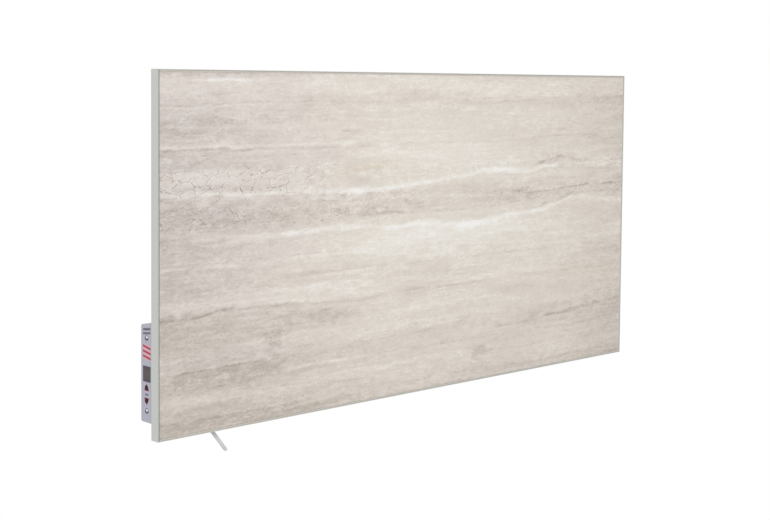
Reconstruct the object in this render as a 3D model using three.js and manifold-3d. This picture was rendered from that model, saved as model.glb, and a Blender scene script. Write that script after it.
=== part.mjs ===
// Infrared panel heater: a ceramic tile in a thin frame, with its heating layer, insulation and
// rear cover behind it, a control box at its lower left, wall rails and a mains lead with a plug.
// Millimetres. +X is right as seen from the front, +Y goes back to the wall, +Z is up.
// The origin is the centre of the panel, in the plane of the wall.

import * as THREE from 'three';
import { mergeVertices } from 'three/addons/utils/BufferGeometryUtils.js';
import Module from 'manifold-3d';

// ---------------------------------------------------------------- driving dimensions

// Panel
const panel_width = 1200;
const panel_height = 600;
const frame_depth = 20;
const wall_gap = 50; // back of the frame to the wall
const seat_gap = 0.3; // between pieces that rest on each other
const slip_gap = 0.2; // between small pieces that fit into each other

// Frame profile
const frame_wall = 1.6;
const lip_radius = 0.6;
const rear_radius = 1.4;
const ledge_width = 9;
const ledge_thickness = 1.5;
const flange_width = 15;
const flange_thickness = 1.6;
const corner_key_length = 34;

// Tile and its groove
const tile_thickness = 9;
const tile_setback = 0.6;
const tile_bevel = 0.8;
const tile_corner = 1.6;
const groove_width = 2.4;
const seal_setback = 1.4;

// Layers behind the tile
const element_margin = 30;
const element_thickness = 0.6;
const element_runs = 22;
const element_slot = 6;
const element_tail = 60; // length of the end fields that take the leads
const mica_thickness = 1;
const reflector_thickness = 0.4;
const layer_margin = 20;
const cutout_x = -144;
const cutout_z = 72;
const probe_offset = 60; // from the cut-out

// Rear cover
const cover_sheet = 1;
const cover_edge = 3; // from the outside of the frame
const cover_rise = 5;
const cover_slope = 6;
const cover_border = 30; // flat border before the raised field
const field_corner = 18;
const swage_rise = 2;
const swage_width = 22;
const swage_pitch = 80;
const louvre_length = 46;
const louvre_height = 4;
const louvre_mouth = 2.6;
const louvre_pitch = 16;
const louvre_rows = 7;
const louvre_offset = 60; // from the rail's flange
const pocket_clearance = 6; // cover pocket round the control box

// Wall rails
const rail_spacing = 540;
const rail_length = 440;
const rail_sheet = 1.5;
const rail_web = 34;
const rail_flare = 3;
const rail_flange = 15;
const keyhole_radius = 6;
const keyhole_slot = 6.6;
const keyhole_drop = 12;
const keyhole_inset = 40; // from the top end of the rail

// Screws
const cover_screw_radius = 1.7;
const cover_screw_head = 3.6;
const cover_screw_length = 7;
const side_screw_height = 180; // above and below the middle
const top_screw_x = 120;
const bottom_screw_x = [-120, 480];
const screw_clearance = 0.25;
const fascia_screw_radius = 2;
const fascia_screw_head = 4;
const fascia_screw_length = 12;
const recess_width = 0.24; // of the cross in a screw's head, in head radii
const recess_reach = 0.62;
const recess_depth = 0.4;

// Control box
const fascia_inset = 3; // from the side of the frame
const fascia_thickness = 2.4;
const box_width = 49;
const box_height = 160;
const box_bottom = 26; // above the bottom edge of the panel
const box_depth = 31;
const box_wall = 2;
const box_corner = 4;
const front_corner = 1.2;
const boss_radius = 4.2;
const box_screw_inset = 5; // from the open side of the box
const controls_offset = 15; // centre line of the controls, from the front of the box
const screw_top = 21.5; // below the top of the box
const screw_bottom = 18.8; // heights above the bottom of the box
const display_centre = 79.5;
const display_height = 26;
const display_width = 22;
const display_radius = 1;
const lens_thickness = 1.4;
const lens_ledge = 0.9;
const button_up_height = 56.8;
const button_down_height = 35.8;
const button_radius = 3;
const button_stand = 0.8;
const button_travel = 0.5;
const button_flange = 1.3;
const button_clearance = 0.25;
const board_thickness = 1.6;
const board_setback = 8; // from the inside of the fascia
const board_gap = 3; // between the board's ends and the screw bosses
const gland_height = 12; // above the bottom of the box
const gland_offset = 16.4; // from the front of the box
const box_screw_heights = [30, 126]; // above the bottom of the box
const lead_across = 30.4; // from the open side of the box
const lead_height = 115.2; // above the bottom of the box

// Mains lead
const cord_diameter = 6.5;
const relief_length = 20;
const hank_x = -405;
const hank_z = -140;
const hank_run = 100;
const hank_inner = 19.5; // half the inner width of the end loops
const hank_pitch = 7.4; // between loops of one layer
const hank_layer = 7.1; // between layers
const hank_front_depth = 35; // first layer, from the front of the panel
const hank_turns = 3.65;
const hank_waist = 9; // how far the tie draws each run in
const hank_steps = 24; // for each turn
const tie_width = 14;
const tie_thickness = 1.2;
const plug_depth = 47; // from the front of the panel
const plug_radius = 18.5;
const plug_length = 34;
const plug_boot = 24;
const pin_radius = 2.4;
const pin_length = 19;
const pin_spacing = 19;

// ---------------------------------------------------------------- derived places

const overall_depth = frame_depth + wall_gap;
const tile_back = tile_setback + tile_thickness;
const ledge_front = tile_back + seat_gap;
const ledge_back = ledge_front + ledge_thickness;
const flange_front = frame_depth - flange_thickness;
const opening_width = panel_width - 2 * frame_wall;
const opening_height = panel_height - 2 * frame_wall;
const tile_width = opening_width - 2 * groove_width;
const tile_height = opening_height - 2 * groove_width;

const cover_front = frame_depth + seat_gap;
const cover_back = cover_front + cover_sheet;
const field_front = cover_front + cover_rise;
const field_back = field_front + cover_sheet;

const element_front = tile_back + seat_gap;
const element_back = element_front + element_thickness;
const mica_front = element_back + slip_gap;
const mica_back = mica_front + mica_thickness;
const reflector_front = mica_back + slip_gap;
const reflector_back = reflector_front + reflector_thickness;
const board_front_depth = reflector_back + slip_gap;
const insulation_back = field_front - slip_gap;

const left_side = -panel_width / 2;
const bottom_side = -panel_height / 2;
const box_front = cover_back + seat_gap;
const fascia_outside = left_side + fascia_inset;
const fascia_inside = fascia_outside + fascia_thickness;
const box_left = fascia_inside + slip_gap;
const box_right = box_left + box_width - fascia_thickness;
const box_bottom_z = bottom_side + box_bottom;
const box_top_z = box_bottom_z + box_height;
const controls_depth = box_front + controls_offset;
const gland_depth = box_front + gland_offset;
const gland_z = box_bottom_z + gland_height;

// ---------------------------------------------------------------- shape helpers

const wasm = await Module();
wasm.setup();

// A closed geometry as a solid that can be cut and joined.
function solid(geometry) {
  const bare = geometry.clone();
  bare.deleteAttribute('normal');
  bare.deleteAttribute('uv');
  const merged = mergeVertices(bare, 1e-4);
  return new wasm.Manifold(
    new wasm.Mesh({
      numProp: 3,
      vertProperties: new Float32Array(merged.attributes.position.array),
      triVerts: new Uint32Array(merged.index.array),
    })
  );
}

// A solid back as a geometry for a mesh.
function shell(body) {
  const mesh = body.getMesh();
  const geometry = new THREE.BufferGeometry();
  geometry.setAttribute('position', new THREE.BufferAttribute(new Float32Array(mesh.vertProperties), 3));
  geometry.setIndex(new THREE.BufferAttribute(new Uint32Array(mesh.triVerts), 1));
  geometry.computeVertexNormals();
  return geometry;
}

function cut(geometry, tools) {
  return shell(tools.reduce((body, tool) => body.subtract(solid(tool)), solid(geometry)));
}

function join(geometry, additions) {
  return shell(additions.reduce((body, extra) => body.add(solid(extra)), solid(geometry)));
}

// A rectangle with round corners, centred on (x, y), as an outline or as a hole.
function roundedRectangle(width, height, radius, x = 0, y = 0, outline = new THREE.Shape()) {
  const [w, h] = [width / 2, height / 2];
  outline.moveTo(x - w + radius, y - h);
  outline.lineTo(x + w - radius, y - h);
  outline.absarc(x + w - radius, y - h + radius, radius, -Math.PI / 2, 0, false);
  outline.lineTo(x + w, y + h - radius);
  outline.absarc(x + w - radius, y + h - radius, radius, 0, Math.PI / 2, false);
  outline.lineTo(x - w + radius, y + h);
  outline.absarc(x - w + radius, y + h - radius, radius, Math.PI / 2, Math.PI, false);
  outline.lineTo(x - w, y - h + radius);
  outline.absarc(x - w + radius, y - h + radius, radius, Math.PI, Math.PI * 1.5, false);
  return outline;
}

function circle(radius, x = 0, y = 0, outline = new THREE.Path()) {
  return outline.absarc(x, y, radius, 0, Math.PI * 2, false);
}

// A flat outline in X and Z, carried back from one depth to another.
function plate(outline, front, back, segments = 3) {
  const options = { depth: back - front, bevelEnabled: false, curveSegments: segments };
  return new THREE.ExtrudeGeometry(outline, options).rotateX(Math.PI / 2).translate(0, back, 0);
}

// An outline in depth and Z, carried along X from one place to another.
function sidePlate(outline, start, end, segments = 3) {
  const options = { depth: end - start, bevelEnabled: false, curveSegments: segments };
  const turn = new THREE.Matrix4().set(0, 0, 1, start, 1, 0, 0, 0, 0, 1, 0, 0, 0, 0, 0, 1);
  return new THREE.ExtrudeGeometry(outline, options).applyMatrix4(turn);
}

// A solid through rings of equal point count, from the front ring to the back ring.
function loft(rings) {
  const count = rings[0].length;
  const positions = rings.flat().flatMap((p) => [p.x, p.y, p.z]);
  const index = [];
  for (let ring = 0; ring < rings.length - 1; ring++) {
    for (let i = 0; i < count; i++) {
      const [a, b] = [ring * count + i, ring * count + ((i + 1) % count)];
      index.push(a, a + count, b, b, a + count, b + count);
    }
  }
  const flat = rings[0].map((p) => new THREE.Vector2(p.x, p.z));
  const last = (rings.length - 1) * count;
  for (const [a, b, c] of THREE.ShapeUtils.triangulateShape(flat, [])) {
    index.push(a, b, c, last + a, last + c, last + b);
  }
  const geometry = new THREE.BufferGeometry();
  geometry.setAttribute('position', new THREE.Float32BufferAttribute(positions, 3));
  geometry.setIndex(index);
  return geometry;
}

// A ring for a loft: a rounded rectangle in X and Z at one depth.
function ring(width, height, radius, depth, x = 0, z = 0) {
  const points = roundedRectangle(width, height, radius).extractPoints(3).shape;
  return points.map((p) => new THREE.Vector3(x + p.x, depth, z + p.y));
}

// A profile of [radius, height] pairs turned round Z. It starts and ends on the axis or closes.
function turned(profile, segments = 16) {
  return new THREE.LatheGeometry(profile.map(([r, h]) => new THREE.Vector2(r, h)), segments).rotateX(Math.PI / 2);
}

// A round bar along Y between two depths.
function bar(radius, front, back, x, z, segments = 16) {
  const cylinder = new THREE.CylinderGeometry(radius, radius, back - front, segments);
  return cylinder.translate(x, (front + back) / 2, z);
}

// A round bar along X between two places.
function crossBar(radius, start, end, depth, z, segments = 16) {
  const cylinder = new THREE.CylinderGeometry(radius, radius, end - start, segments);
  return cylinder.rotateZ(Math.PI / 2).translate((start + end) / 2, depth, z);
}

// A block between two corners.
function block(low, high) {
  const size = high.map((v, i) => v - low[i]);
  const box = new THREE.BoxGeometry(...size);
  return box.translate(...high.map((v, i) => (v + low[i]) / 2));
}

// A round section carried along a curve.
function tube(curve, diameter, steps, sides = 10) {
  const section = new THREE.Shape();
  for (let i = 0; i < sides; i++) {
    const angle = (i / sides) * Math.PI * 2;
    const point = [(Math.cos(angle) * diameter) / 2, (Math.sin(angle) * diameter) / 2];
    if (i === 0) section.moveTo(...point);
    else section.lineTo(...point);
  }
  return new THREE.ExtrudeGeometry(section, { extrudePath: curve, steps, bevelEnabled: false });
}

// ---------------------------------------------------------------- finishes

const finish = (color, roughness, metalness = 0) => new THREE.MeshStandardMaterial({ color, roughness, metalness });
const stone = finish(0xcdc6bf, 0.45);
const powder_coat = finish(0xc3c8c1, 0.5, 0.2);
const pale_sealant = finish(0xc9c7c1, 0.8);
const dark_rubber = finish(0x2a2a2a, 0.8);
const galvanised = finish(0xb4b8ba, 0.4, 0.9);
const steel = finish(0xc8c8c6, 0.3, 1);
const foil = finish(0x9b8f7c, 0.4, 0.8);
const mica = finish(0xb9a88a, 0.6);
const bright_foil = finish(0xdedfe0, 0.2, 1);
const wool = finish(0xd8cfa6, 0.95);
const lavender_plastic = finish(0xb0b0bc, 0.45);
const dark_glass = finish(0x4a4448, 0.15);
const maroon_plastic = finish(0x3a1418, 0.4);
const board_green = finish(0x2e6b3a, 0.5);
const black_plastic = finish(0x242426, 0.5);
const white_plastic = finish(0xe8e8e4, 0.5);
const light_cord = finish(0xbdbdbb, 0.55);
const nickel = finish(0xd0cdc6, 0.25, 1);
const red_sleeve = finish(0xa03028, 0.6);
const blue_sleeve = finish(0x2c55a0, 0.6);
const earth_sleeve = finish(0x8aa63a, 0.6);

// ---------------------------------------------------------------- assembly

const heater = new THREE.Group();
const panel = new THREE.Group(); // its Y is the depth from the front of the panel
panel.position.y = -overall_depth;
heater.add(panel);

function part(name, geometry, material, position = [0, 0, 0], turn = 0) {
  const mesh = new THREE.Mesh(geometry, material);
  mesh.name = name;
  mesh.position.set(...position);
  mesh.rotation.y = turn;
  panel.add(mesh);
  return mesh;
}

// ---------------------------------------------------------------- screws

// A pan-head screw with a cross recess. Local Z points out of the head, whose underside is at 0.
function panScrew(radius, head, length, segments = 10) {
  const height = head * 0.62;
  const profile = [
    [0, -length],
    [radius * 0.4, -length],
    [radius, -length + radius],
    [radius, 0],
    [head, 0],
    [head, height * 0.45],
    [head * 0.8, height * 0.85],
    [head * 0.35, height],
    [0, height],
  ];
  const [reach, half, floor] = [head * recess_reach, (head * recess_width) / 2, height - head * recess_depth];
  return cut(turned(profile, segments), [
    block([-reach, -half, floor], [reach, half, height + 1]),
    block([-half, -reach, floor], [half, reach, height + 1]),
  ]);
}

// The screw's head faces the wall.
function rearScrew(name, x, z, seat, length = cover_screw_length) {
  const geometry = panScrew(cover_screw_radius, cover_screw_head, length).rotateX(-Math.PI / 2);
  part(name, geometry, steel, [x, seat + slip_gap, z]);
}

const screw_hole = cover_screw_radius + screw_clearance;
const cover_screw_inset = (frame_wall + flange_width) / 2 + 0.5;
const screw_column = panel_width / 2 - cover_screw_inset;
const screw_row = panel_height / 2 - cover_screw_inset;
const cover_screw_places = [
  [-screw_column, side_screw_height],
  [screw_column, side_screw_height],
  [screw_column, -side_screw_height],
  [top_screw_x, screw_row],
  ...bottom_screw_x.map((x) => [x, -screw_row]),
];
const box_screw_places = box_screw_heights.map((h) => [box_left + box_screw_inset, box_bottom_z + h]);
const frame_holes = [...cover_screw_places, ...box_screw_places];

cover_screw_places.forEach(([x, z], i) => rearScrew(`cover_screw_${i + 1}`, x, z, cover_back));

// ---------------------------------------------------------------- frame

// The profile: inward distance along X, depth along Y. A thin outer wall, a ledge that the tile
// rests on and a rear flange that takes the cover's screws.
function frameSection() {
  const section = new THREE.Shape();
  section.moveTo(0, lip_radius);
  section.lineTo(0, frame_depth - rear_radius);
  section.absarc(rear_radius, frame_depth - rear_radius, rear_radius, Math.PI, Math.PI / 2, true);
  section.lineTo(flange_width, frame_depth);
  section.lineTo(flange_width, flange_front);
  section.lineTo(frame_wall, flange_front);
  section.lineTo(frame_wall, ledge_back);
  section.lineTo(ledge_width, ledge_back);
  section.lineTo(ledge_width, ledge_front);
  section.lineTo(frame_wall, ledge_front);
  section.lineTo(frame_wall, lip_radius);
  section.absarc(frame_wall - lip_radius, lip_radius, lip_radius, 0, -Math.PI / 2, true);
  section.lineTo(lip_radius, 0);
  section.absarc(lip_radius, lip_radius, lip_radius, -Math.PI / 2, -Math.PI, true);
  return section;
}

// One side of the frame. Each end is mitred by drawing every point in by its inward distance.
function frameBar(length) {
  const options = { depth: 1, bevelEnabled: false, curveSegments: 3 };
  const geometry = new THREE.ExtrudeGeometry(frameSection(), options);
  const points = geometry.attributes.position;
  const half = length / 2 - slip_gap / 2;
  for (let i = 0; i < points.count; i++) {
    const reach = half - points.getX(i);
    points.setZ(i, points.getZ(i) > 0.5 ? reach : -reach);
  }
  return geometry;
}

const frame_sides = [
  ['frame_left', panel_height, 0, [left_side, 0]],
  ['frame_right', panel_height, Math.PI, [-left_side, 0]],
  ['frame_bottom', panel_width, -Math.PI / 2, [0, bottom_side]],
  ['frame_top', panel_width, Math.PI / 2, [0, -bottom_side]],
];
for (const [name, length, turn, [x, z]] of frame_sides) {
  const cosine = Math.round(Math.cos(turn));
  const sine = Math.round(Math.sin(turn));
  const holes = frame_holes
    .map(([hx, hz]) => [(hx - x) * cosine - (hz - z) * sine, (hx - x) * sine + (hz - z) * cosine])
    .filter(([across, along]) => across > frame_wall && across < flange_width && Math.abs(along) < length / 2)
    .map(([across, along]) => bar(screw_hole, flange_front - 1, frame_depth + 1, across, along, 12));
  part(name, cut(frameBar(length), holes), powder_coat, [x, 0, z], turn);
}

// Corner keys between the ledge and the rear flange.
function cornerKey() {
  const inner = frame_wall + slip_gap;
  const outer = ledge_width;
  const outline = new THREE.Shape();
  outline.moveTo(inner, inner);
  outline.lineTo(inner + corner_key_length, inner);
  outline.lineTo(inner + corner_key_length, outer);
  outline.lineTo(outer, outer);
  outline.lineTo(outer, inner + corner_key_length);
  outline.lineTo(inner, inner + corner_key_length);
  return plate(outline, ledge_back + slip_gap, flange_front - slip_gap);
}

[[-1, -1], [-1, 1], [1, 1], [1, -1]].forEach(([sx, sz], i) => {
  const corner = [(sx * panel_width) / 2, 0, (sz * panel_height) / 2];
  part(`corner_key_${i + 1}`, cornerKey(), galvanised, corner, (i * Math.PI) / 2);
});

// ---------------------------------------------------------------- tile and seal

const tile = loft([
  ring(tile_width - 2 * tile_bevel, tile_height - 2 * tile_bevel, tile_corner, tile_setback),
  ring(tile_width, tile_height, tile_corner, tile_setback + tile_bevel),
  ring(tile_width, tile_height, tile_corner, tile_back),
]);
part('front_tile', tile, stone);

const seal_outline = roundedRectangle(opening_width - 2 * slip_gap, opening_height - 2 * slip_gap, 0.5);
seal_outline.holes.push(
  roundedRectangle(tile_width + 2 * slip_gap, tile_height + 2 * slip_gap, tile_corner, 0, 0, new THREE.Path())
);
part('edge_seal', plate(seal_outline, seal_setback, tile_back), pale_sealant);

// ---------------------------------------------------------------- heating layers

// The heating element: a flat foil that runs to and fro, cut as slots from both ends in turn.
const element_width = panel_width - 2 * element_margin;
const element_height = panel_height - 2 * element_margin;
const element_pitch = element_height / element_runs;

function heatingElement() {
  const [x, z] = [element_width / 2, element_height / 2];
  const run = element_pitch - element_slot;
  const outline = new THREE.Shape();
  outline.moveTo(-x, -z);
  outline.lineTo(x, -z);
  for (let i = 1; i < element_runs; i += 2) {
    const low = -z + i * element_pitch - element_slot;
    if (i + 1 < element_runs) {
      outline.lineTo(x, low + element_slot + run);
      outline.lineTo(-x + run, low + element_slot + run);
      outline.lineTo(-x + run, low + element_pitch + element_slot);
      outline.lineTo(x, low + element_pitch + element_slot);
    }
  }
  outline.lineTo(x, z - element_slot);
  outline.lineTo(-x, z - element_slot);
  for (let i = element_runs - 1; i > 0; i -= 2) {
    const low = -z + i * element_pitch - element_slot;
    outline.lineTo(-x, low + element_slot);
    outline.lineTo(x - run, low + element_slot);
    outline.lineTo(x - run, low);
    outline.lineTo(-x, low);
  }
  return plate(outline, element_front, element_back);
}
part('heating_element', heatingElement(), foil);

const layer_width = panel_width - 2 * layer_margin;
const layer_height = panel_height - 2 * layer_margin;
const lead_x = box_left + lead_across;
const lead_z = box_bottom_z + lead_height;
const lead_spread = 9;
const lead_radius = 1.6;
const lead_places = [lead_z, lead_z - lead_spread];

function layer(front, back, holes) {
  const outline = roundedRectangle(layer_width, layer_height, 4);
  outline.holes.push(...holes);
  return plate(outline, front, back);
}
const lead_holes = () => lead_places.map((z) => circle(lead_radius + 0.6, lead_x, z));
const cutout_place = [cutout_x, cutout_z];
const cutout_radius = 8;
const probe_place = [cutout_x + probe_offset, cutout_z];

part('mica_sheet', layer(mica_front, mica_back, lead_holes()), mica);
part('reflector_sheet', layer(reflector_front, reflector_back, lead_holes()), bright_foil);

// ---------------------------------------------------------------- rear cover

const pocket_left = left_side + cover_edge - 20;
const pocket_right = box_right + pocket_clearance;
const pocket_low = bottom_side + cover_edge - 20;
const pocket_high = box_top_z + pocket_clearance;

// A raised field with sloping sides, as a solid between two depths. Grow widens it all round.
function raisedField(grow, front, back) {
  const width = panel_width - 2 * cover_border + 2 * grow;
  const height = panel_height - 2 * cover_border + 2 * grow;
  const slope = (cover_slope * (back - front)) / cover_rise;
  return loft([
    ring(width, height, field_corner + grow, front),
    ring(width - 2 * slope, height - 2 * slope, field_corner + grow - slope / 2, back),
  ]);
}

// The pocket that leaves room for the control box, as a solid. Grow widens it.
function pocket(grow, front, back) {
  const width = pocket_right - pocket_left + 2 * grow;
  const height = pocket_high - pocket_low + 2 * grow;
  const slope = (cover_slope * (back - front)) / cover_rise;
  const [x, z] = [(pocket_left + pocket_right) / 2, (pocket_low + pocket_high) / 2];
  return loft([
    ring(width, height, 6 + grow, front, x, z),
    ring(width + 2 * slope, height + 2 * slope, 6 + grow + slope, back, x, z),
  ]);
}

// A stiffening swage: a long shallow rib with round ends and sloping sides.
function swage(z, length, grow, front, back) {
  const width = swage_width + 2 * grow;
  const slope = back - front + 1;
  return loft([
    ring(length + 2 * grow, width, width / 2 - 0.1, front, 0, z),
    ring(length + 2 * grow - 2 * slope, width - 2 * slope, width / 2 - slope - 0.1, back, 0, z),
  ]);
}

// A louvre's hood: a half-round scoop, open along its lower edge.
function louvreHood(x, z, radius, length) {
  const hood = new THREE.CylinderGeometry(radius, radius, length, 10);
  return hood.rotateZ(Math.PI / 2).translate(x, field_back - louvre_mouth / 2, z);
}

const swage_count = Math.floor((panel_height - 2 * cover_border - 4 * cover_slope) / swage_pitch);
const swage_length = rail_spacing - rail_web - 2 * (rail_flange + rail_flare) - 30;
const swage_places = Array.from({ length: swage_count }, (_, i) => (i - (swage_count - 1) / 2) * swage_pitch);
const louvre_x = rail_spacing / 2 + rail_web / 2 + rail_flange + louvre_length / 2 + louvre_offset;
const louvre_places = Array.from({ length: louvre_rows }, (_, i) => (i - (louvre_rows - 1) / 2) * louvre_pitch);

const rail_screw_offset = rail_web / 2 + rail_flare + rail_flange / 2;
const rail_screw_rise = rail_length / 2 - 24;
const rail_screw_places = [-1, 1].flatMap((side) =>
  [[-1, -1], [1, 1]].map(([across, up]) => [
    (side * rail_spacing) / 2 + across * rail_screw_offset,
    up * rail_screw_rise,
  ])
);

function rearCover() {
  const flange_outline = roundedRectangle(panel_width - 2 * cover_edge, panel_height - 2 * cover_edge, 4);
  const sheet = cover_sheet;
  let outside = solid(raisedField(0, cover_back - 0.5, field_back)).subtract(
    solid(pocket(0, cover_back, field_back + 1))
  );
  let inside = solid(raisedField(-sheet, cover_front - 1, field_front)).subtract(
    solid(pocket(sheet, cover_front - 1, field_front + 1))
  );
  for (const z of swage_places) {
    outside = outside.add(solid(swage(z, swage_length, 0, field_back - 0.5, field_back + swage_rise)));
    const rib = swage(z, swage_length, -sheet * 0.6, field_front - 0.5, field_front + swage_rise);
    inside = inside.add(solid(rib));
  }
  for (const z of louvre_places) {
    outside = outside.add(solid(louvreHood(louvre_x, z, louvre_height, louvre_length)));
  }
  let cover = solid(plate(flange_outline, cover_front, cover_back)).add(outside).subtract(inside);
  for (const z of louvre_places) {
    cover = cover.subtract(solid(louvreHood(louvre_x, z, louvre_height - sheet, louvre_length - 2 * sheet)));
    const [low, high] = [z - louvre_height - 1, z - louvre_height * 0.35];
    const mouth = [louvre_x - louvre_length / 2 - 1, field_back + 0.05, low];
    cover = cover.subtract(solid(block(mouth, [louvre_x + louvre_length / 2 + 1, field_back + 9, high])));
  }
  for (const [x, z] of [...cover_screw_places, ...box_screw_places]) {
    cover = cover.subtract(solid(bar(screw_hole, cover_front - 1, cover_back + 1, x, z, 12)));
  }
  for (const [x, z] of rail_screw_places) {
    cover = cover.subtract(solid(bar(screw_hole, field_front - 1, field_back + 1, x, z, 12)));
  }
  const grommet_hole = block(
    [lead_x - grommet_width / 2, cover_front - 1, lead_z - lead_spread / 2 - grommet_height / 2],
    [lead_x + grommet_width / 2, cover_back + 1, lead_z - lead_spread / 2 + grommet_height / 2]
  );
  return shell(cover.subtract(solid(grommet_hole)));
}

const grommet_width = 10;
const grommet_height = 20;
part('rear_cover', rearCover(), galvanised);

// Insulation under the raised field. Its lower left corner is cut away for the cover's pocket.
function insulationBoard() {
  const x = panel_width / 2 - cover_border - cover_slope - 2;
  const z = panel_height / 2 - cover_border - cover_slope - 2;
  const notch_x = pocket_right + cover_slope + 3;
  const notch_z = pocket_high + cover_slope + 3;
  const outline = new THREE.Shape();
  const turn = field_corner;
  outline.moveTo(notch_x, -z);
  outline.lineTo(x - turn, -z);
  outline.absarc(x - turn, -z + turn, turn, -Math.PI / 2, 0, false);
  outline.lineTo(x, z - turn);
  outline.absarc(x - turn, z - turn, turn, 0, Math.PI / 2, false);
  outline.lineTo(-x + turn, z);
  outline.absarc(-x + turn, z - turn, turn, Math.PI / 2, Math.PI, false);
  outline.lineTo(-x, notch_z);
  outline.lineTo(notch_x, notch_z);
  for (const [hx, hz] of rail_screw_places) {
    outline.holes.push(circle(cover_screw_radius + 2, hx, hz));
  }
  outline.holes.push(circle(cutout_radius + 1, ...cutout_place));
  outline.holes.push(roundedRectangle(12, 8, 1, ...probe_place, new THREE.Path()));
  return plate(outline, board_front_depth, insulation_back, 4);
}
part('insulation_board', insulationBoard(), wool);

// The thermal cut-out: a flanged cap on a base, with two tabs, that senses the hot layers.
function thermalCutout() {
  const seat = board_front_depth;
  const cap = turned([[0, 0], [cutout_radius, 0], [cutout_radius, 4], [6.4, 4.6], [6.4, 8], [0, 8]], 20);
  const tabs = [-3.4, 3.4].map((x) => block([x - 1.5, 7, -0.4], [x + 1.5, 11, 0.4]));
  const turned_cap = cap.rotateX(-Math.PI / 2);
  return join(turned_cap, tabs).translate(cutout_place[0], seat, cutout_place[1]);
}
part('thermal_cutout', thermalCutout(), black_plastic);

// The temperature probe: a bead in a flat clip.
function temperatureProbe() {
  const clip = plate(roundedRectangle(11, 7, 1), 0, 1);
  const bead = new THREE.CapsuleGeometry(1.6, 5, 3, 8).rotateZ(Math.PI / 2).translate(0, 2.2, 0);
  return join(clip, [bead]).translate(probe_place[0], board_front_depth, probe_place[1]);
}
part('temperature_probe', temperatureProbe(), nickel);

// ---------------------------------------------------------------- wall rails

// A hat section in X and depth: two flanges on the cover, sloping sides and a web at the wall.
function railSection() {
  const front = field_back + seat_gap;
  const back = overall_depth;
  const [web, foot] = [rail_web / 2, rail_web / 2 + rail_flare];
  const outline = new THREE.Shape();
  outline.moveTo(-foot - rail_flange, front);
  outline.lineTo(-foot + rail_sheet, front);
  outline.lineTo(-web + rail_sheet, back - rail_sheet);
  outline.lineTo(web - rail_sheet, back - rail_sheet);
  outline.lineTo(foot - rail_sheet, front);
  outline.lineTo(foot + rail_flange, front);
  outline.lineTo(foot + rail_flange, front + rail_sheet);
  outline.lineTo(foot, front + rail_sheet);
  outline.lineTo(web, back);
  outline.lineTo(-web, back);
  outline.lineTo(-foot, front + rail_sheet);
  outline.lineTo(-foot - rail_flange, front + rail_sheet);
  return outline;
}

// A keyhole through the web: a round entry with a slot above it.
const keyhole_z = rail_length / 2 - keyhole_inset;
function keyhole() {
  const entry = bar(keyhole_radius, overall_depth - 5, overall_depth + 5, 0, keyhole_z - keyhole_drop, 20);
  const end = bar(keyhole_slot / 2, overall_depth - 5, overall_depth + 5, 0, keyhole_z, 16);
  const low = [-keyhole_slot / 2, overall_depth - 5, keyhole_z - keyhole_drop];
  return [entry, end, block(low, [keyhole_slot / 2, overall_depth + 5, keyhole_z])];
}

function mountRail(side) {
  const options = { depth: rail_length, bevelEnabled: false };
  const length = new THREE.ExtrudeGeometry(railSection(), options).translate(0, 0, -rail_length / 2);
  const seat = field_back + seat_gap;
  const holes = rail_screw_places
    .filter(([x]) => Math.sign(x) === side)
    .map(([x, z]) => bar(screw_hole, seat - 1, seat + rail_sheet + 1, x - (side * rail_spacing) / 2, z, 12));
  const lower = bar(keyhole_slot / 2, overall_depth - 5, overall_depth + 5, 0, -keyhole_z, 16);
  return cut(length, [...keyhole(), lower, ...holes]);
}
part('mount_rail_left', mountRail(-1), galvanised, [-rail_spacing / 2, 0, 0]);
part('mount_rail_right', mountRail(1), galvanised, [rail_spacing / 2, 0, 0]);
rail_screw_places.forEach(([x, z], i) => {
  rearScrew(`rail_screw_${i + 1}`, x, z, field_back + seat_gap + rail_sheet);
});

// ---------------------------------------------------------------- control box

const box_middle = [(box_front * 2 + box_depth) / 2, (box_bottom_z + box_top_z) / 2];
const box_back = box_front + box_depth;

// The side outline of the control box in depth and Z: small corners at the front, round at the back.
function boxOutline(shrink, outline = new THREE.Shape()) {
  const [front, back] = [box_front + shrink, box_back - shrink];
  const [low, high] = [box_bottom_z + shrink, box_top_z - shrink];
  const small = Math.max(front_corner - shrink, 0.3);
  const large = Math.max(box_corner - shrink, 0.8);
  outline.moveTo(front + small, low);
  outline.lineTo(back - large, low);
  outline.absarc(back - large, low + large, large, -Math.PI / 2, 0, false);
  outline.lineTo(back, high - large);
  outline.absarc(back - large, high - large, large, 0, Math.PI / 2, false);
  outline.lineTo(front + small, high);
  outline.absarc(front + small, high - small, small, Math.PI / 2, Math.PI, false);
  outline.lineTo(front, low + small);
  outline.absarc(front + small, low + small, small, Math.PI, Math.PI * 1.5, false);
  return outline;
}

const fascia_screw_heights = [box_top_z - screw_top, box_bottom_z + screw_bottom];
const button_heights = [button_up_height, button_down_height].map((h) => box_bottom_z + h);
const display_z = box_bottom_z + display_centre;
const board_left = fascia_inside + board_setback;
const board_right = board_left + board_thickness;
const board_low = fascia_screw_heights[1] + boss_radius + board_gap;
const board_high = fascia_screw_heights[0] - boss_radius - board_gap;
const board_half = box_depth / 2 - box_wall - 3;
const board_middle = box_front + box_depth / 2;
const gland_radius = 6;

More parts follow.
